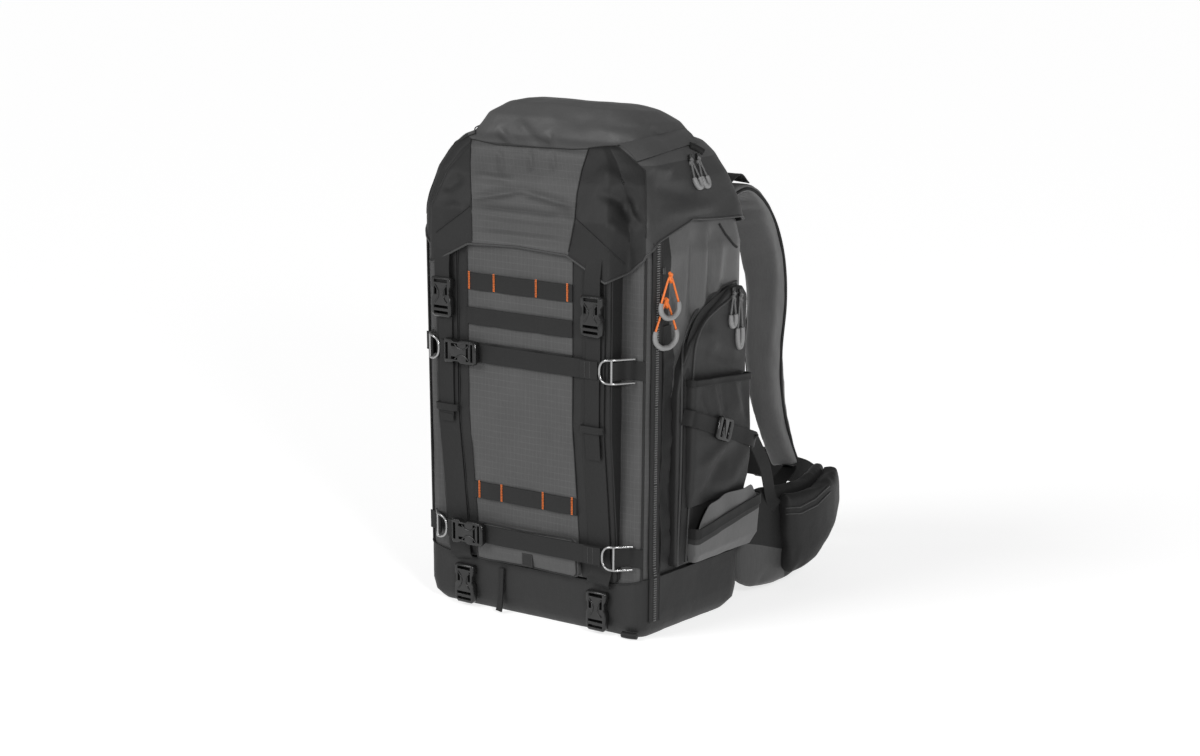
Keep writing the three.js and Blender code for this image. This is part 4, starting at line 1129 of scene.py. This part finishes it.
def dense(pixels, step=5.0):
    """More places along a line in the picture."""
    line = [pixels[0]]
    for (x0, y0), (x1, y1) in zip(pixels, pixels[1:]):
        count = max(1, round(math.hypot(x1 - x0, y1 - y0) / step))
        line += [(x0 + (x1 - x0) * i / count, y0 + (y1 - y0) * i / count) for i in range(1, count + 1)]
    return line


def trim(name, line, radius, finish, slot, widen=False, spacing=3.0):
    """Corded piping along a line."""
    line = curve_through(line, spacing)
    rings = swept(line, round_section(radius), (0.31, 0.52, 0.79))
    return dress(sewn(name, rings, widen=widen), finish, slot)


def trim_pair(name, line, radius, finish, slot):
    """The same piping on the right and on the left."""
    for word, flip in SIDES:
        trim(f"{name}_{word}", line * (flip, 1, 1), radius, finish, slot)


lid_skin = skin_of(lid_shell)
hem_rings = swept(lid[0][:-1], round_section(1.5), (0, 0, 1), looped=True)
dress(sewn("lid_hem_piping", hem_rings), TRIM_GREY, "coated_grey")
LID_SEAMS = {
    "panel_seam": [(589, 148), (582, 170), (577, 194), (575, 218), (571, 240), (568.5, 252)],
    "diagonal_seam": [(576, 219), (590, 232), (606, 247), (619, 259), (625, 264)],
    "corner_seam": [(617, 146), (630, 157), (645, 171), (646, 190), (646, 215), (646, 238)],
    "ridge_seam": [(590, 148), (603, 146.5), (616, 146)],
    "cover_seam": [(618, 146), (640, 141), (665, 135), (690, 129)],
    "cover_edge": [(637, 162), (655, 156), (672, 150), (689, 145)],
}
LEFT_SEAMS = {
    "panel_seam": LEFT_EDGE[:4],
    "diagonal_seam": [(470, 206), (458, 215), (446, 224), (436, 232)],
    "ridge_seam": [(471, 139), (467, 134), (462, 129)],
}
for name, pixels in LID_SEAMS.items():
    line = onto([lid_skin], dense(pixels), 0.4)
    trim(f"{name}_right", line, 0.8, TRIM_BLACK, "nylon_black")
    if name in LEFT_SEAMS:
        line = onto([lid_skin], dense(LEFT_SEAMS[name]), 0.4)
    else:
        line = line * (-1, 1, 1)
    trim(f"{name}_left", line, 0.8, TRIM_BLACK, "nylon_black")
FRONT_RIDGE = [(471, 139), (480, 141), (497, 145), (520, 146.5), (545, 148), (572, 149.5), (588, 149)]
trim("front_ridge_seam", onto([lid_skin], dense(FRONT_RIDGE), 0.4), 0.7, TRIM_BLACK, "nylon_black")

for word, flip in SIDES:
    for name, x in (("middle_seam", MIDDLE_HALF), ("band_seam", 99)):
        run = [(flip * x, face_at(z) - 0.4, z) for z in (84, 150, 230, 270, 330, 400, 492)]
        trim(f"{name}_{word}", run, 0.7, TRIM_BLACK, "nylon_black", widen=True, spacing=6)
    run = [(flip * (POCKET_HALF + 0.3), face_at(z) + 5, z) for z in (76, 150, 230, 270, 330, 400, 488)]
    trim(f"pocket_edge_{word}", run, 1.2, TRIM_BLACK, "nylon_black", widen=True, spacing=6)
    corner = [(flip * (HALF - 3), -DEEP + 2.6, z) for z in (78, 150, 250, 350, 450, 488)]
    trim(f"corner_piping_{word}", corner, 1.7, TRIM_BLACK, "nylon_black", widen=True, spacing=8)
boot_line = boot[-1][:-1] + (0, 0, 0.3)
boot_hem_rings = swept(boot_line, round_section(1.2), (0, 0, 1), looped=True)
dress(sewn("boot_hem", boot_hem_rings), TRIM_BLACK, "nylon_black")


# Stitching
# Orange bar tacks across the webbing, and tacks in dark thread on the strap ends. Each stitch
# is a short raised loop of thread.
def stitched(name, rows, pitch, length, thick, finish, slot):
    """Short stitches along lines; one stitch is modelled and laid again and again."""
    bpy.ops.object.select_all(action="DESELECT")
    bpy.ops.mesh.primitive_cube_add(size=1)
    piece = bpy.context.object
    bpy.ops.object.mode_set(mode="EDIT")
    bpy.ops.mesh.select_all(action="SELECT")
    bpy.ops.mesh.bevel(offset=0.24, segments=1)
    bpy.ops.object.mode_set(mode="OBJECT")
    stitch = np.array([v.co for v in piece.data.vertices])
    faces = [tuple(p.vertices) for p in piece.data.polygons]
    points, all_faces = [], []
    for start, end in rows:
        start, end = np.array(start, float), np.array(end, float)
        run = end - start
        reach = np.linalg.norm(run)
        ahead = run / reach
        level = abs(ahead[2]) < 0.8
        out = unit(np.cross(ahead, (0.0, 0.0, 1.0) if level else (1.0, 0.0, 0.0)))
        beside = np.cross(out, ahead)
        for i in range(max(1, int(reach / pitch))):
            centre = start + ahead * pitch * (i + 0.5)
            first = len(points) * len(stitch)
            thread = stitch[:, 1:2] * thick * beside
            points.append(centre + stitch[:, :1] * length * ahead + thread + stitch[:, 2:] * thick * out)
            all_faces += [tuple(first + v for v in face) for face in faces]
    mesh = bpy.data.meshes.new(name)
    mesh.from_pydata([tuple(p) for p in widened(np.vstack(points)) * MM], [], all_faces)
    single = piece.data
    piece.data = mesh
    bpy.data.meshes.remove(single)
    piece.name = name
    return dress(piece, finish, slot)


tacks = []
for top, bars in zip([STRIP_TOPS[0], STRIP_TOPS[3]], [BAR_PLACES[0], BAR_PLACES[3]]):
    for x in bars:
        y = face_at(top - STRIP_DROP) - SEAM - 2.6
        for offset in (-0.8, 0.8):
            tacks.append(((x + offset, y, top + 1.5), (x + offset, y, top - 23.5)))
stitched("orange_tacks", tacks, 2.1, 1.8, 0.8, FINISHES["cord_orange"], "cord_orange")
dark = cloth_finish("dark_thread", (grey(0.05), 0.6, 0.0))
tacks = []
for side in (1, -1):
    for _, height, proud in LASHES:
        y = lash_plane(height, proud) - 3.2
        for x in (side * (LASH_REACH - 20), side * (LASH_REACH - 12)):
            tacks.append(((x, y, height + 10), (x, y, height - 10)))
stitched("lash_tacks", tacks, 2.0, 1.6, 0.7, dark, "webbing_black")


# Main zips
# A coil zip runs up each side just behind the front corner, on a black tape with a ribbed edge.
ZIP_Y = -92.0
zip_levels = [22, 81, 94, 200, 300, 400, 506]
zip_out = [SIDE_FACE + out for out in (3.2, 3.2, 1.4, 1.2, 1.2, 1.2, 1.2)]
tooth_rows = []
for word, side in SIDES:
    run = [(side * x, ZIP_Y, z) for x, z in zip(zip_out, zip_levels)]
    webbing(f"zip_tape_{word}", run, 18, (0, 1, 0), f"main_zip_{word}", thick=1.4, slot="zip_tape", spacing=8)
    for edge, edge_y in (("front", -102), ("rear", -82)):
        run = [(side * (x + 0.2), edge_y, z) for x, z in zip(zip_out, zip_levels)]
        trim(f"zip_edge_{word}_{edge}", run, 1.1, TRIM_BLACK, "nylon_black", widen=True, spacing=8)
    for z0, z1, x0, x1 in zip(zip_levels, zip_levels[1:], zip_out, zip_out[1:]):
        for tooth_y in (ZIP_Y - 1.4, ZIP_Y + 1.4):
            tooth_rows.append(((side * (x0 + 1.1), tooth_y, z0), (side * (x1 + 1.1), tooth_y, z1)))
coil = plain_finish("coil_teeth", grey(0.16), 0.35)
stitched("zip_teeth", tooth_rows, 3.0, 1.5, 2.0, coil, "zip_tape")

# A rolled edge of black cloth between the zip and the side pocket
flap_z = np.arange(84, 405, 9)
flap_x, flap_y = SIDE_FACE + 1.6 + 1.2 * np.sin(flap_z / 17.0), -71 + 1.6 * np.sin(flap_z / 41.0)
for word, flip in SIDES:
    line = curve_through(np.column_stack([flip * flap_x, flap_y, flap_z]), 4)
    rings = rumpled(swept(line, strap_section(20, 4.0), (0, 1, 0)), 2.2, 17, seed=8, closed=False)
    dress(sewn(f"zip_flap_{word}", rings), FINISHES["nylon_black"], "nylon_black")


# Side pocket zips
# A coil zip between two corded seams arches over each side pocket and runs down its front edge.
side_skins = [skin_of(side_pieces[0]), skin_of(bag_body)]
OUTER_SEAM = [
    (736, 281), (722, 287), (708, 298), (696, 311), (688, 327), (683.5, 345),
    (682, 370), (681, 420), (680, 480), (678, 530), (677, 566),
]
INNER_SEAM = [
    (737, 292), (727, 301), (716, 310), (705, 322), (698, 336), (694.5, 352),
    (692.5, 380), (691, 430), (689, 490), (687, 530), (685, 562),
]
outer = onto(side_skins, OUTER_SEAM, 0.8)
inner = onto(side_skins, INNER_SEAM, 0.8)
trim_pair("pocket_zip_outer", outer, 1.6, TRIM_GREY, "zip_tape")
trim_pair("pocket_zip_inner", inner, 1.5, TRIM_GREY, "zip_tape")
middle = (outer + inner) / 2
for word, flip in SIDES:
    line = curve_through(middle * (flip, 1, 1), 4)
    away = unit(np.gradient(line, axis=0))
    across = unit(np.cross(away, (flip * 1.0, 0, 0)))
    band = []
    for share in (-1, -0.6, -0.2, 0.2, 0.6, 1):
        band.append(line + across * (share * 6.0) + (flip * (1.0 - abs(share)), 0, 0))
    tape = sewn(f"pocket_zip_tape_{word}", np.stack(band), wall=0.8, widen=False)
    dress(tape, FINISHES["zip_tape"], "zip_tape")

# Elastic rims of the pouches
for word, flip in SIDES:
    rim = stretch[-1] * (flip, 1, 1) + (flip * 0.9, 0, -3.0)
    rings = swept(rim, strap_section(9, 3.0), (0, 0, 1))
    dress(sewn(f"stretch_rim_{word}", rings), FINISHES["webbing_black"], "stretch_black")
    rim = foot[-1] * (flip, 1, 1) + (flip * 0.8, 0, -5.0)
    rings = swept(rim, strap_section(14, 2.0), (0, 0, 1))
    dress(sewn(f"foot_rim_{word}", rings), FINISHES["webbing_black"], "webbing_black")
    # The grey lining that stands up behind the foot pocket's rim
    y = np.linspace(-34, 103, 40)
    ends = np.minimum(1, np.minimum((y + 34) / 26, (103 - y) / 12))
    rows = []
    for share in np.linspace(0, 1, 12):
        z = foot_rim(y) - 6 + share * ends * (27 + 5 * np.sin((y + 36) / 31.0))
        x = SIDE_POCKET_FACE + 17.4 - 1.6 * share + 2.4 * np.sin(y / 9.0 + share) * share
        rows.append(np.column_stack([flip * x, y, z]))
    flap = sewn(f"foot_flap_{word}", np.array(rows), wall=1.2)
    dress(flap, foot_cloth, "nylon_grey")


# Tripod pocket and its plain patch
# A flat cup for a tripod's foot, folded up under the low lash strap, with a bare black patch.
CUP_EDGE = [(-84, 72), (-84, 118), (-79, 122), (79, 122), (84, 118), (84, 76), (79, 71), (-79, 71)]
PATCH_EDGE = [(-6, 73), (-6, 91), (12, 91), (12, 73)]
PATCH_FACE = face_at(82.0) - SEAM - 8.0
cup = evenly(CUP_EDGE, 130)
cup_rings = crowned(cup, 7.5, 2.5, 0.8, 12)
out, x, z = cup_rings[..., 0], cup_rings[..., 1], cup_rings[..., 2]
cup_rings = np.stack([x, face_at(z) - SEAM - out, z], axis=-1)
cup_rings = rumpled(cup_rings, 0.6, 30, seed=9)
cup_cloth = cloth_finish("tripod_cup_cloth", (grey(0.062), 0.5, 0.4))
dress(sewn("tripod_cup", cup_rings), cup_cloth, "ripstop_grey", "tripod_pocket")
rim = cup_rings[7][:-1]
cup_piping = swept(rim, round_section(1.1), (0, 1, 0), looped=True)
dress(sewn("tripod_cup_piping", cup_piping), TRIM_BLACK, "nylon_black")
patch = crowned(evenly(PATCH_EDGE, 60), 1.4, 0.8, 0.2, 6)
patch = np.stack([patch[..., 1], PATCH_FACE - patch[..., 0], patch[..., 2]], axis=-1)
dress(sewn("tripod_patch", patch), cloth_finish("patch_cloth", (grey(0.012), 0.5, 0.0)), "webbing_black")
low_left, low_right, high_left, high_right = (
    (x, PATCH_FACE - 1.5, z) for z in (74.6, 89.4) for x in (-4.6, 10.6)
)
border = [(low_left, low_right), (high_left, high_right), (low_left, high_left), (low_right, high_right)]
stitched("patch_border", border, 2.0, 1.3, 0.5, dark, "webbing_black")


# Zip pulls
# Loops of cord with moulded grips: orange on the main zip, grey on the lid and side pockets.
PULL_SHAPE = [
    (0, 0), (0.3, -0.18), (0.58, -0.4), (0.84, -0.6), (0.93, -0.74), (0.8, -0.87), (0.36, -0.97), (0, -0.98),
]
KNOT_SHAPE = ((-2.2, 1.5), (2.0, -1.0), (-1.8, -4.5), (1.6, -8.0), (0.0, -10.0))
GRIP_SHARE = 0.38  # of the loop's length


def pull_points(length, grip):
    right = [(x * grip / 2, z * length) for x, z in PULL_SHAPE]
    left = [(-x, z) for x, z in right[-2:0:-1]]
    return np.array(right + left)


def hung_pull(name, node, length, grip, swing, at, cord_finish, cord_slot, turn=0.0, lift=0.0):
    """A loop of cord on a zip's slider, swung out from the cloth and turned towards the front."""
    flat = pull_points(length, grip)
    flat = curve_through(np.vstack([flat, flat[:1]]), 1.5)[:-1]
    turned = np.column_stack([2.0 + lift + turn * (flat[:, 0] + grip / 2), flat[:, 0], flat[:, 1]])
    x, z = turned[:, 0].copy(), turned[:, 2].copy()
    turned[:, 0] = x * math.cos(swing) - z * math.sin(swing)
    turned[:, 2] = x * math.sin(swing) + z * math.cos(swing)
    line = turned + at
    cord_piece = sewn(f"{name}_cord", swept(line, round_section(1.35), (1, 0, 0), looped=True))
    dress(cord_piece, cord_finish, cord_slot, node)
    low = flat[:, 1] < -length * (1 - GRIP_SHARE)
    part = line[low]
    heft = 1 - 0.25 * np.abs(np.linspace(-1, 1, len(part))) ** 4
    grip_piece = sewn(f"{name}_grip", swept(part, round_section(3.4, 10), (1, 0, 0), heft))
    dress(grip_piece, FINISHES["pull_grey"], "pull_grey")
    knot = [line[0] + (0.4, dy, dz) for dy, dz in KNOT_SHAPE]
    knot_piece = sewn(f"{name}_knot", swept(curve_through(knot, 1.2), round_section(2.2), (1, 0, 0)))
    dress(knot_piece, cord_finish, cord_slot)
    slider = [(at[0] + out, at[1], at[2] + up) for out, up in ((0.6, 7), (0.9, 3), (0.9, -1))]
    slide = sewn(f"{name}_slider", swept(curve_through(slider, 1.5), strap_section(7, 3.2), (0, 1, 0)))
    dress(slide, FINISHES["buckle_plastic"], "buckle_plastic")


grey_cord = cloth_finish("grey_cord", (grey(0.13), 0.5, 0.0))
MAIN_PULLS = (
    ("main_pull_high", "main_pull_1", 56, 29, (SIDE_FACE + 0.6, -81, 466), 5.4),
    ("main_pull_low", "main_pull_2", 62, 35, (SIDE_FACE + 0.6, -83, 434), 0.4),
)
for name, node, length, grip, at, lift in MAIN_PULLS:
    hung_pull(name, node, length, grip, 0.0, at, FINISHES["cord_orange"], "cord_orange", turn=0.3, lift=lift)
hood_x, hood_z = HALF * 0.865 + 4.8, TALL + 0.427 * LID_RISE - 3
for i, y in enumerate((2, 18)):
    at = (hood_x, y, hood_z)
    hung_pull(f"lid_zip_pull_{i + 1}", f"lid_pull_{i + 1}", 38, 12, 0.4, at, grey_cord, "pull_grey")
for i, (length, y, z) in enumerate(((44, 56, 424), (70, 72, 420))):
    at = (SIDE_POCKET_FACE + 0.3, y, z)
    hung_pull(f"side_zip_pull_{i + 1}", f"side_pull_{i + 1}", length, 12, 0.0, at, grey_cord, "pull_grey")


# Zip cover of the lid
# A satin flap sewn along the right shoulder of the dome hides the lid's zip.
def stretched_to(line, count):
    """The same line with another number of points."""
    steps, own = np.linspace(0, 1, count), np.linspace(0, 1, len(line))
    return np.stack([np.interp(steps, own, line[:, axis]) for axis in range(3)], axis=1)


upper = onto([lid_skin], dense([(618, 145), (640, 140), (665, 134), (691, 128)], 3), 0)
lower = onto([lid_skin], dense([(636, 162), (655, 156), (672, 150.5), (696, 143)], 3), 0)
upper, lower = stretched_to(curve_through(upper, 3), 40), stretched_to(curve_through(lower, 3), 40)
away = unit(np.array((0.55, -0.1, 0.8)))
cover = []
for share in np.linspace(-0.02, 1.02, 14):
    swell = 0.5 + 3.6 * math.sin(math.pi * (0.12 + 0.8 * share))
    cover.append(lower + (upper - lower) * share + away * swell)
cover = rumpled(np.array(cover), 0.7, 22, seed=10, closed=False)
cover_cloth = cloth_finish("zip_cover_cloth", (grey(0.06), 0.42, 0.0))
dress(sewn("zip_cover", cover, wall=1.4, widen=False), cover_cloth, "coated_grey", "lid_zip_hood")

# Bindings on the upper sides, and a rolled loop of webbing under the front corners
body_skin = skin_of(bag_body)
binding = onto([body_skin], dense([(719, 224), (725, 234), (733, 244), (740, 250)]), 0.5)
trim_pair("wing_binding", binding, 1.7, TRIM_BLACK, "nylon_black")
corner_roll = [(148, -116.5, 5.6), (158, -116.5, 5.6), (169, -113.5, 5.8)]
trim("corner_roll", corner_roll, 4.4, FINISHES["webbing_black"], "webbing_black", widen=True)
cover_end = onto([lid_skin], [(689, 146), (695, 148.5), (702, 152.5)], 1.0)
trim("zip_cover_end", cover_end, 5.0, FINISHES["webbing_black"], "webbing_black")


# Harness trim
# Corded edges on the shoulder straps, their adjusting webbing, and the belt's front strap.
STRAP_TABLE = [
    (0.494, 0.054, 0.862, 0.97), (0.511, 0.105, 0.945, 1), (0.551, 0.313, 0.984, 1), (0.58, 0.517, 0.96, 1),
    (0.608, 0.696, 0.891, 1), (0.636, 0.794, 0.8, 1), (0.653, 0.825, 0.691, 0.97), (0.653, 0.8, 0.564, 0.92),
    (0.67, 0.838, 0.445, 0.84), (0.722, 0.918, 0.345, 0.73), (0.767, 0.998, 0.273, 0.6),
]
LIFTER = [(0.727, -0.004, 1.004), (0.693, 0.214, 1.022), (0.636, 0.424, 0.996)]
LIFTER_TAIL = [(0.62, 0.86, 0.86), (0.64, 0.93, 0.80), (0.65, 0.985, 0.70)]
BACK_FACE = DEEP + SEAM
STRAP_REACH, STRAP_WIDTH, BELT_REACH, BELT_HEIGHT = 162.0, 74.0, 279.0, 148.0


def on_harness(x, out, up):
    return np.array((x * HALF, BACK_FACE + out * STRAP_REACH, up * TALL))


def laid_on(skin, line, lift):
    """A line moved to the nearest places of a piece's surface."""
    found = [skin.find_nearest(Vector(place * MM)) for place in widened(line)]
    return np.array([np.array(place) / MM + np.array(normal) * lift for place, normal, _, _ in found])


for word, flip in SIDES:
    pad_skin = skin_of(bpy.data.objects[f"shoulder_pad_{word}"])
    for edge_name, edge_side in (("outer", 0.5), ("inner", -0.5)):
        run = []
        for x, out, up, width in STRAP_TABLE:
            run.append(on_harness(x, out, up) + (edge_side * width * STRAP_WIDTH, 0, 0))
        run = laid_on(pad_skin, np.array(run) * (flip, 1, 1), 0)
        trim(f"strap_edge_{edge_name}_{word}", run, 2.2, TRIM_BLACK, "harness_grey", spacing=5)
    lifter = [on_harness(*place) for place in LIFTER]
    webbing(f"lifter_webbing_{word}", np.array(lifter) * (flip, 1, 1), 28, (1, 0, 0), f"load_lifter_{word}")
    tail = np.array([on_harness(*place) for place in LIFTER_TAIL]) * (flip, 1, 1)
    tail = laid_on(pad_skin, curve_through(tail, 6), 1.0)
    webbing(f"lifter_tail_{word}", tail, 22, (1, 0, 0), thick=1.6, widen=False)
    x, y, z = on_harness(*STRAP_TABLE[-1][:3])
    on_boot = BACK_FACE + BOOT_GROW
    run = [
        (x + 0.2, y + 0.3, z - 0.9), (x + 1.4, y + 2.2, z - 7), (x - 9, y - 65, z - 48),
        (x - 20, on_boot + 30, z - 70), (x - 23.5, on_boot + 2.6, z - 86), (x - 23.5, on_boot + 1, z - 110),
    ]
    webbing(f"strap_adjuster_{word}", np.array(run) * (flip, 1, 1), 24, (1, 0, 0), f"strap_webbing_{word}")

# Grey cloth on the lower inner end of each belt wing
GREY_END = [(730, 542), (760, 545), (783, 549), (786, 610), (730, 610)]
belt_cloth = cloth_finish("belt_cloth", (grey(0.011), 0.6, 0.0), [("grey_end", (grey(0.06), 0.5, 0.0))])
for word in ("right", "left"):
    belt_pad = bpy.data.objects[f"belt_pad_{word}"]
    places = np.array([tuple(vertex.co) for vertex in belt_pad.data.vertices]) / MM
    places[:, 0] = np.abs(places[:, 0])
    grey_end = belt_pad.data.attributes.new("grey_end", "FLOAT", "POINT")
    grey_end.data.foreach_set("value", inside(in_picture(places), GREY_END))
    belt_pad.data.materials[0] = belt_cloth

# Webbing that draws the belt in, from the ends of the compression straps
belt_hold = onto([skin_of(bpy.data.objects["belt_pad_right"])], [(770, 498), (776, 506)], 1.6)
strap_hold = widened([(SIDE_STRAP_X + 1.8, 86, 229), COMPRESSION_STRAP[-1]])
half_way = strap_hold[1] * 0.55 + belt_hold[0] * 0.45 + (3, 4, -2)
belt_hold = np.vstack([strap_hold, half_way, belt_hold])
for word, flip in SIDES:
    webbing(f"belt_stabilizer_{word}", belt_hold * (flip, 1, 1), 18, (0.3, 0.75, 0.6), widen=False)

pouch_skin = skin_of(bpy.data.objects["belt_pouch_right"])
for name, pixels in (
    ("belt_zip_upper", [(786, 508), (800, 507), (815, 499), (829, 486)]),
    ("belt_zip_lower", [(786, 514), (801, 513), (817, 505), (830, 492)]),
):
    trim_pair(name, onto([pouch_skin], dense(pixels, 4), 0.4), 1.2, TRIM_GREY, "zip_tape")

tip_x, tip_y = 0.722 * HALF, BACK_FACE + BOOT_GROW + 7.7 + 0.839 * BELT_REACH
level, front = 0.77 * BELT_HEIGHT, BACK_FACE + BELT_REACH
run = [(tip_x - 1.1, tip_y + 1.7), (tip_x - 31, tip_y + 22), (tip_x - 71, front - 3), (0, front)]
run += [(-x, y) for x, y in run[-2::-1]]
webbing("belt_strap", [(x, y, level) for x, y in run], 38, (0, 0, 1), "belt_webbing", spacing=5)
run = [(42, BACK_FACE), (41, BACK_FACE + 16), (24, BACK_FACE + 27), (0, BACK_FACE + 30)]
run += [(-x, y) for x, y in run[-2::-1]]
webbing("carry_loop", [(x, y, TALL - 74) for x, y in run], 24, (0, 0, 1), "haul_handle", thick=4)


# Moulded buckles
# Side-release buckles and ladder locks of glossy black plastic. Their edges are rounded, and
# two bowed ribs stiffen the face between the arms that are pressed to open them.
def moulded(node):
    """A buckle of the frame with its edges rounded."""
    source = frame["nodes"][node].data
    mesh = bpy.data.meshes.new(f"{node}_moulded")
    corners = [vertex.co[:] for vertex in source.vertices]
    mesh.from_pydata(corners, [], [face.vertices[:] for face in source.polygons])
    piece = bpy.data.objects.new(f"{node}_moulded", mesh)
    bpy.context.collection.objects.link(piece)
    only(piece)
    bpy.ops.object.mode_set(mode="EDIT")
    bpy.ops.mesh.select_all(action="SELECT")
    bpy.ops.mesh.remove_doubles(threshold=0.000002)
    bpy.ops.mesh.dissolve_limited(angle_limit=math.radians(1))
    bpy.ops.object.mode_set(mode="OBJECT")
    rounding = piece.modifiers.new("rounding", "BEVEL")
    rounding.width = 0.8 * MM
    rounding.segments = 2
    rounding.limit_method = "ANGLE"
    rounding.angle_limit = math.radians(40)
    bpy.ops.object.modifier_apply(modifier=rounding.name)
    bpy.ops.object.shade_smooth_by_angle(angle=math.radians(35))
    return dress(piece, FINISHES["buckle_plastic"], "buckle_plastic", node)


def ribbed(node, front):
    """Two bowed ribs on a buckle's face, along its length. Front is -1 where the face looks along -Y."""
    piece = moulded(node)
    corners = np.array([vertex.co[:] for vertex in piece.data.vertices]) / MM
    low, high = corners.min(0), corners.max(0)
    middle = (low + high) / 2
    face = low[1] if front < 0 else high[1]
    upright = high[2] - low[2] > high[0] - low[0]
    long, wide = (2, 0) if upright else (0, 2)
    span, width = high[long] - low[long], high[wide] - low[wide]
    for number, side in ((1, -1), (2, 1)):
        line = np.zeros((5, 3))
        line[:, long] = middle[long] + span * np.array([0.3, 0.2, 0.08, -0.04, -0.14])
        line[:, wide] = middle[wide] + side * width * np.array([0.3, 0.17, 0.11, 0.17, 0.3])
        line[:, 1] = face
        rings = swept(curve_through(line, 1.5), round_section(1.1), (0, 1, 0))
        rib = sewn(f"{node}_rib_{number}", rings, widen=False)
        dress(rib, FINISHES["buckle_plastic"], "buckle_plastic")


for node in ("mid", "low", "lid_right", "lid_left", "base_right", "base_left"):
    ribbed(f"buckle_{node}", -1)
ribbed("belt_buckle", 1)
for word in ("right", "left"):
    moulded(f"side_buckle_{word}")


# Parts that show as they are
# Anything without a piece of its own takes its finish here.
for subpart in frame["record"]["subparts"]:
    node = frame["nodes"][subpart["node"]]
    finish = FINISHES[subpart["material_slot"]]
    if not node.material_slots:
        node.data.materials.append(finish)
    for holder in node.material_slots:
        holder.material = finish
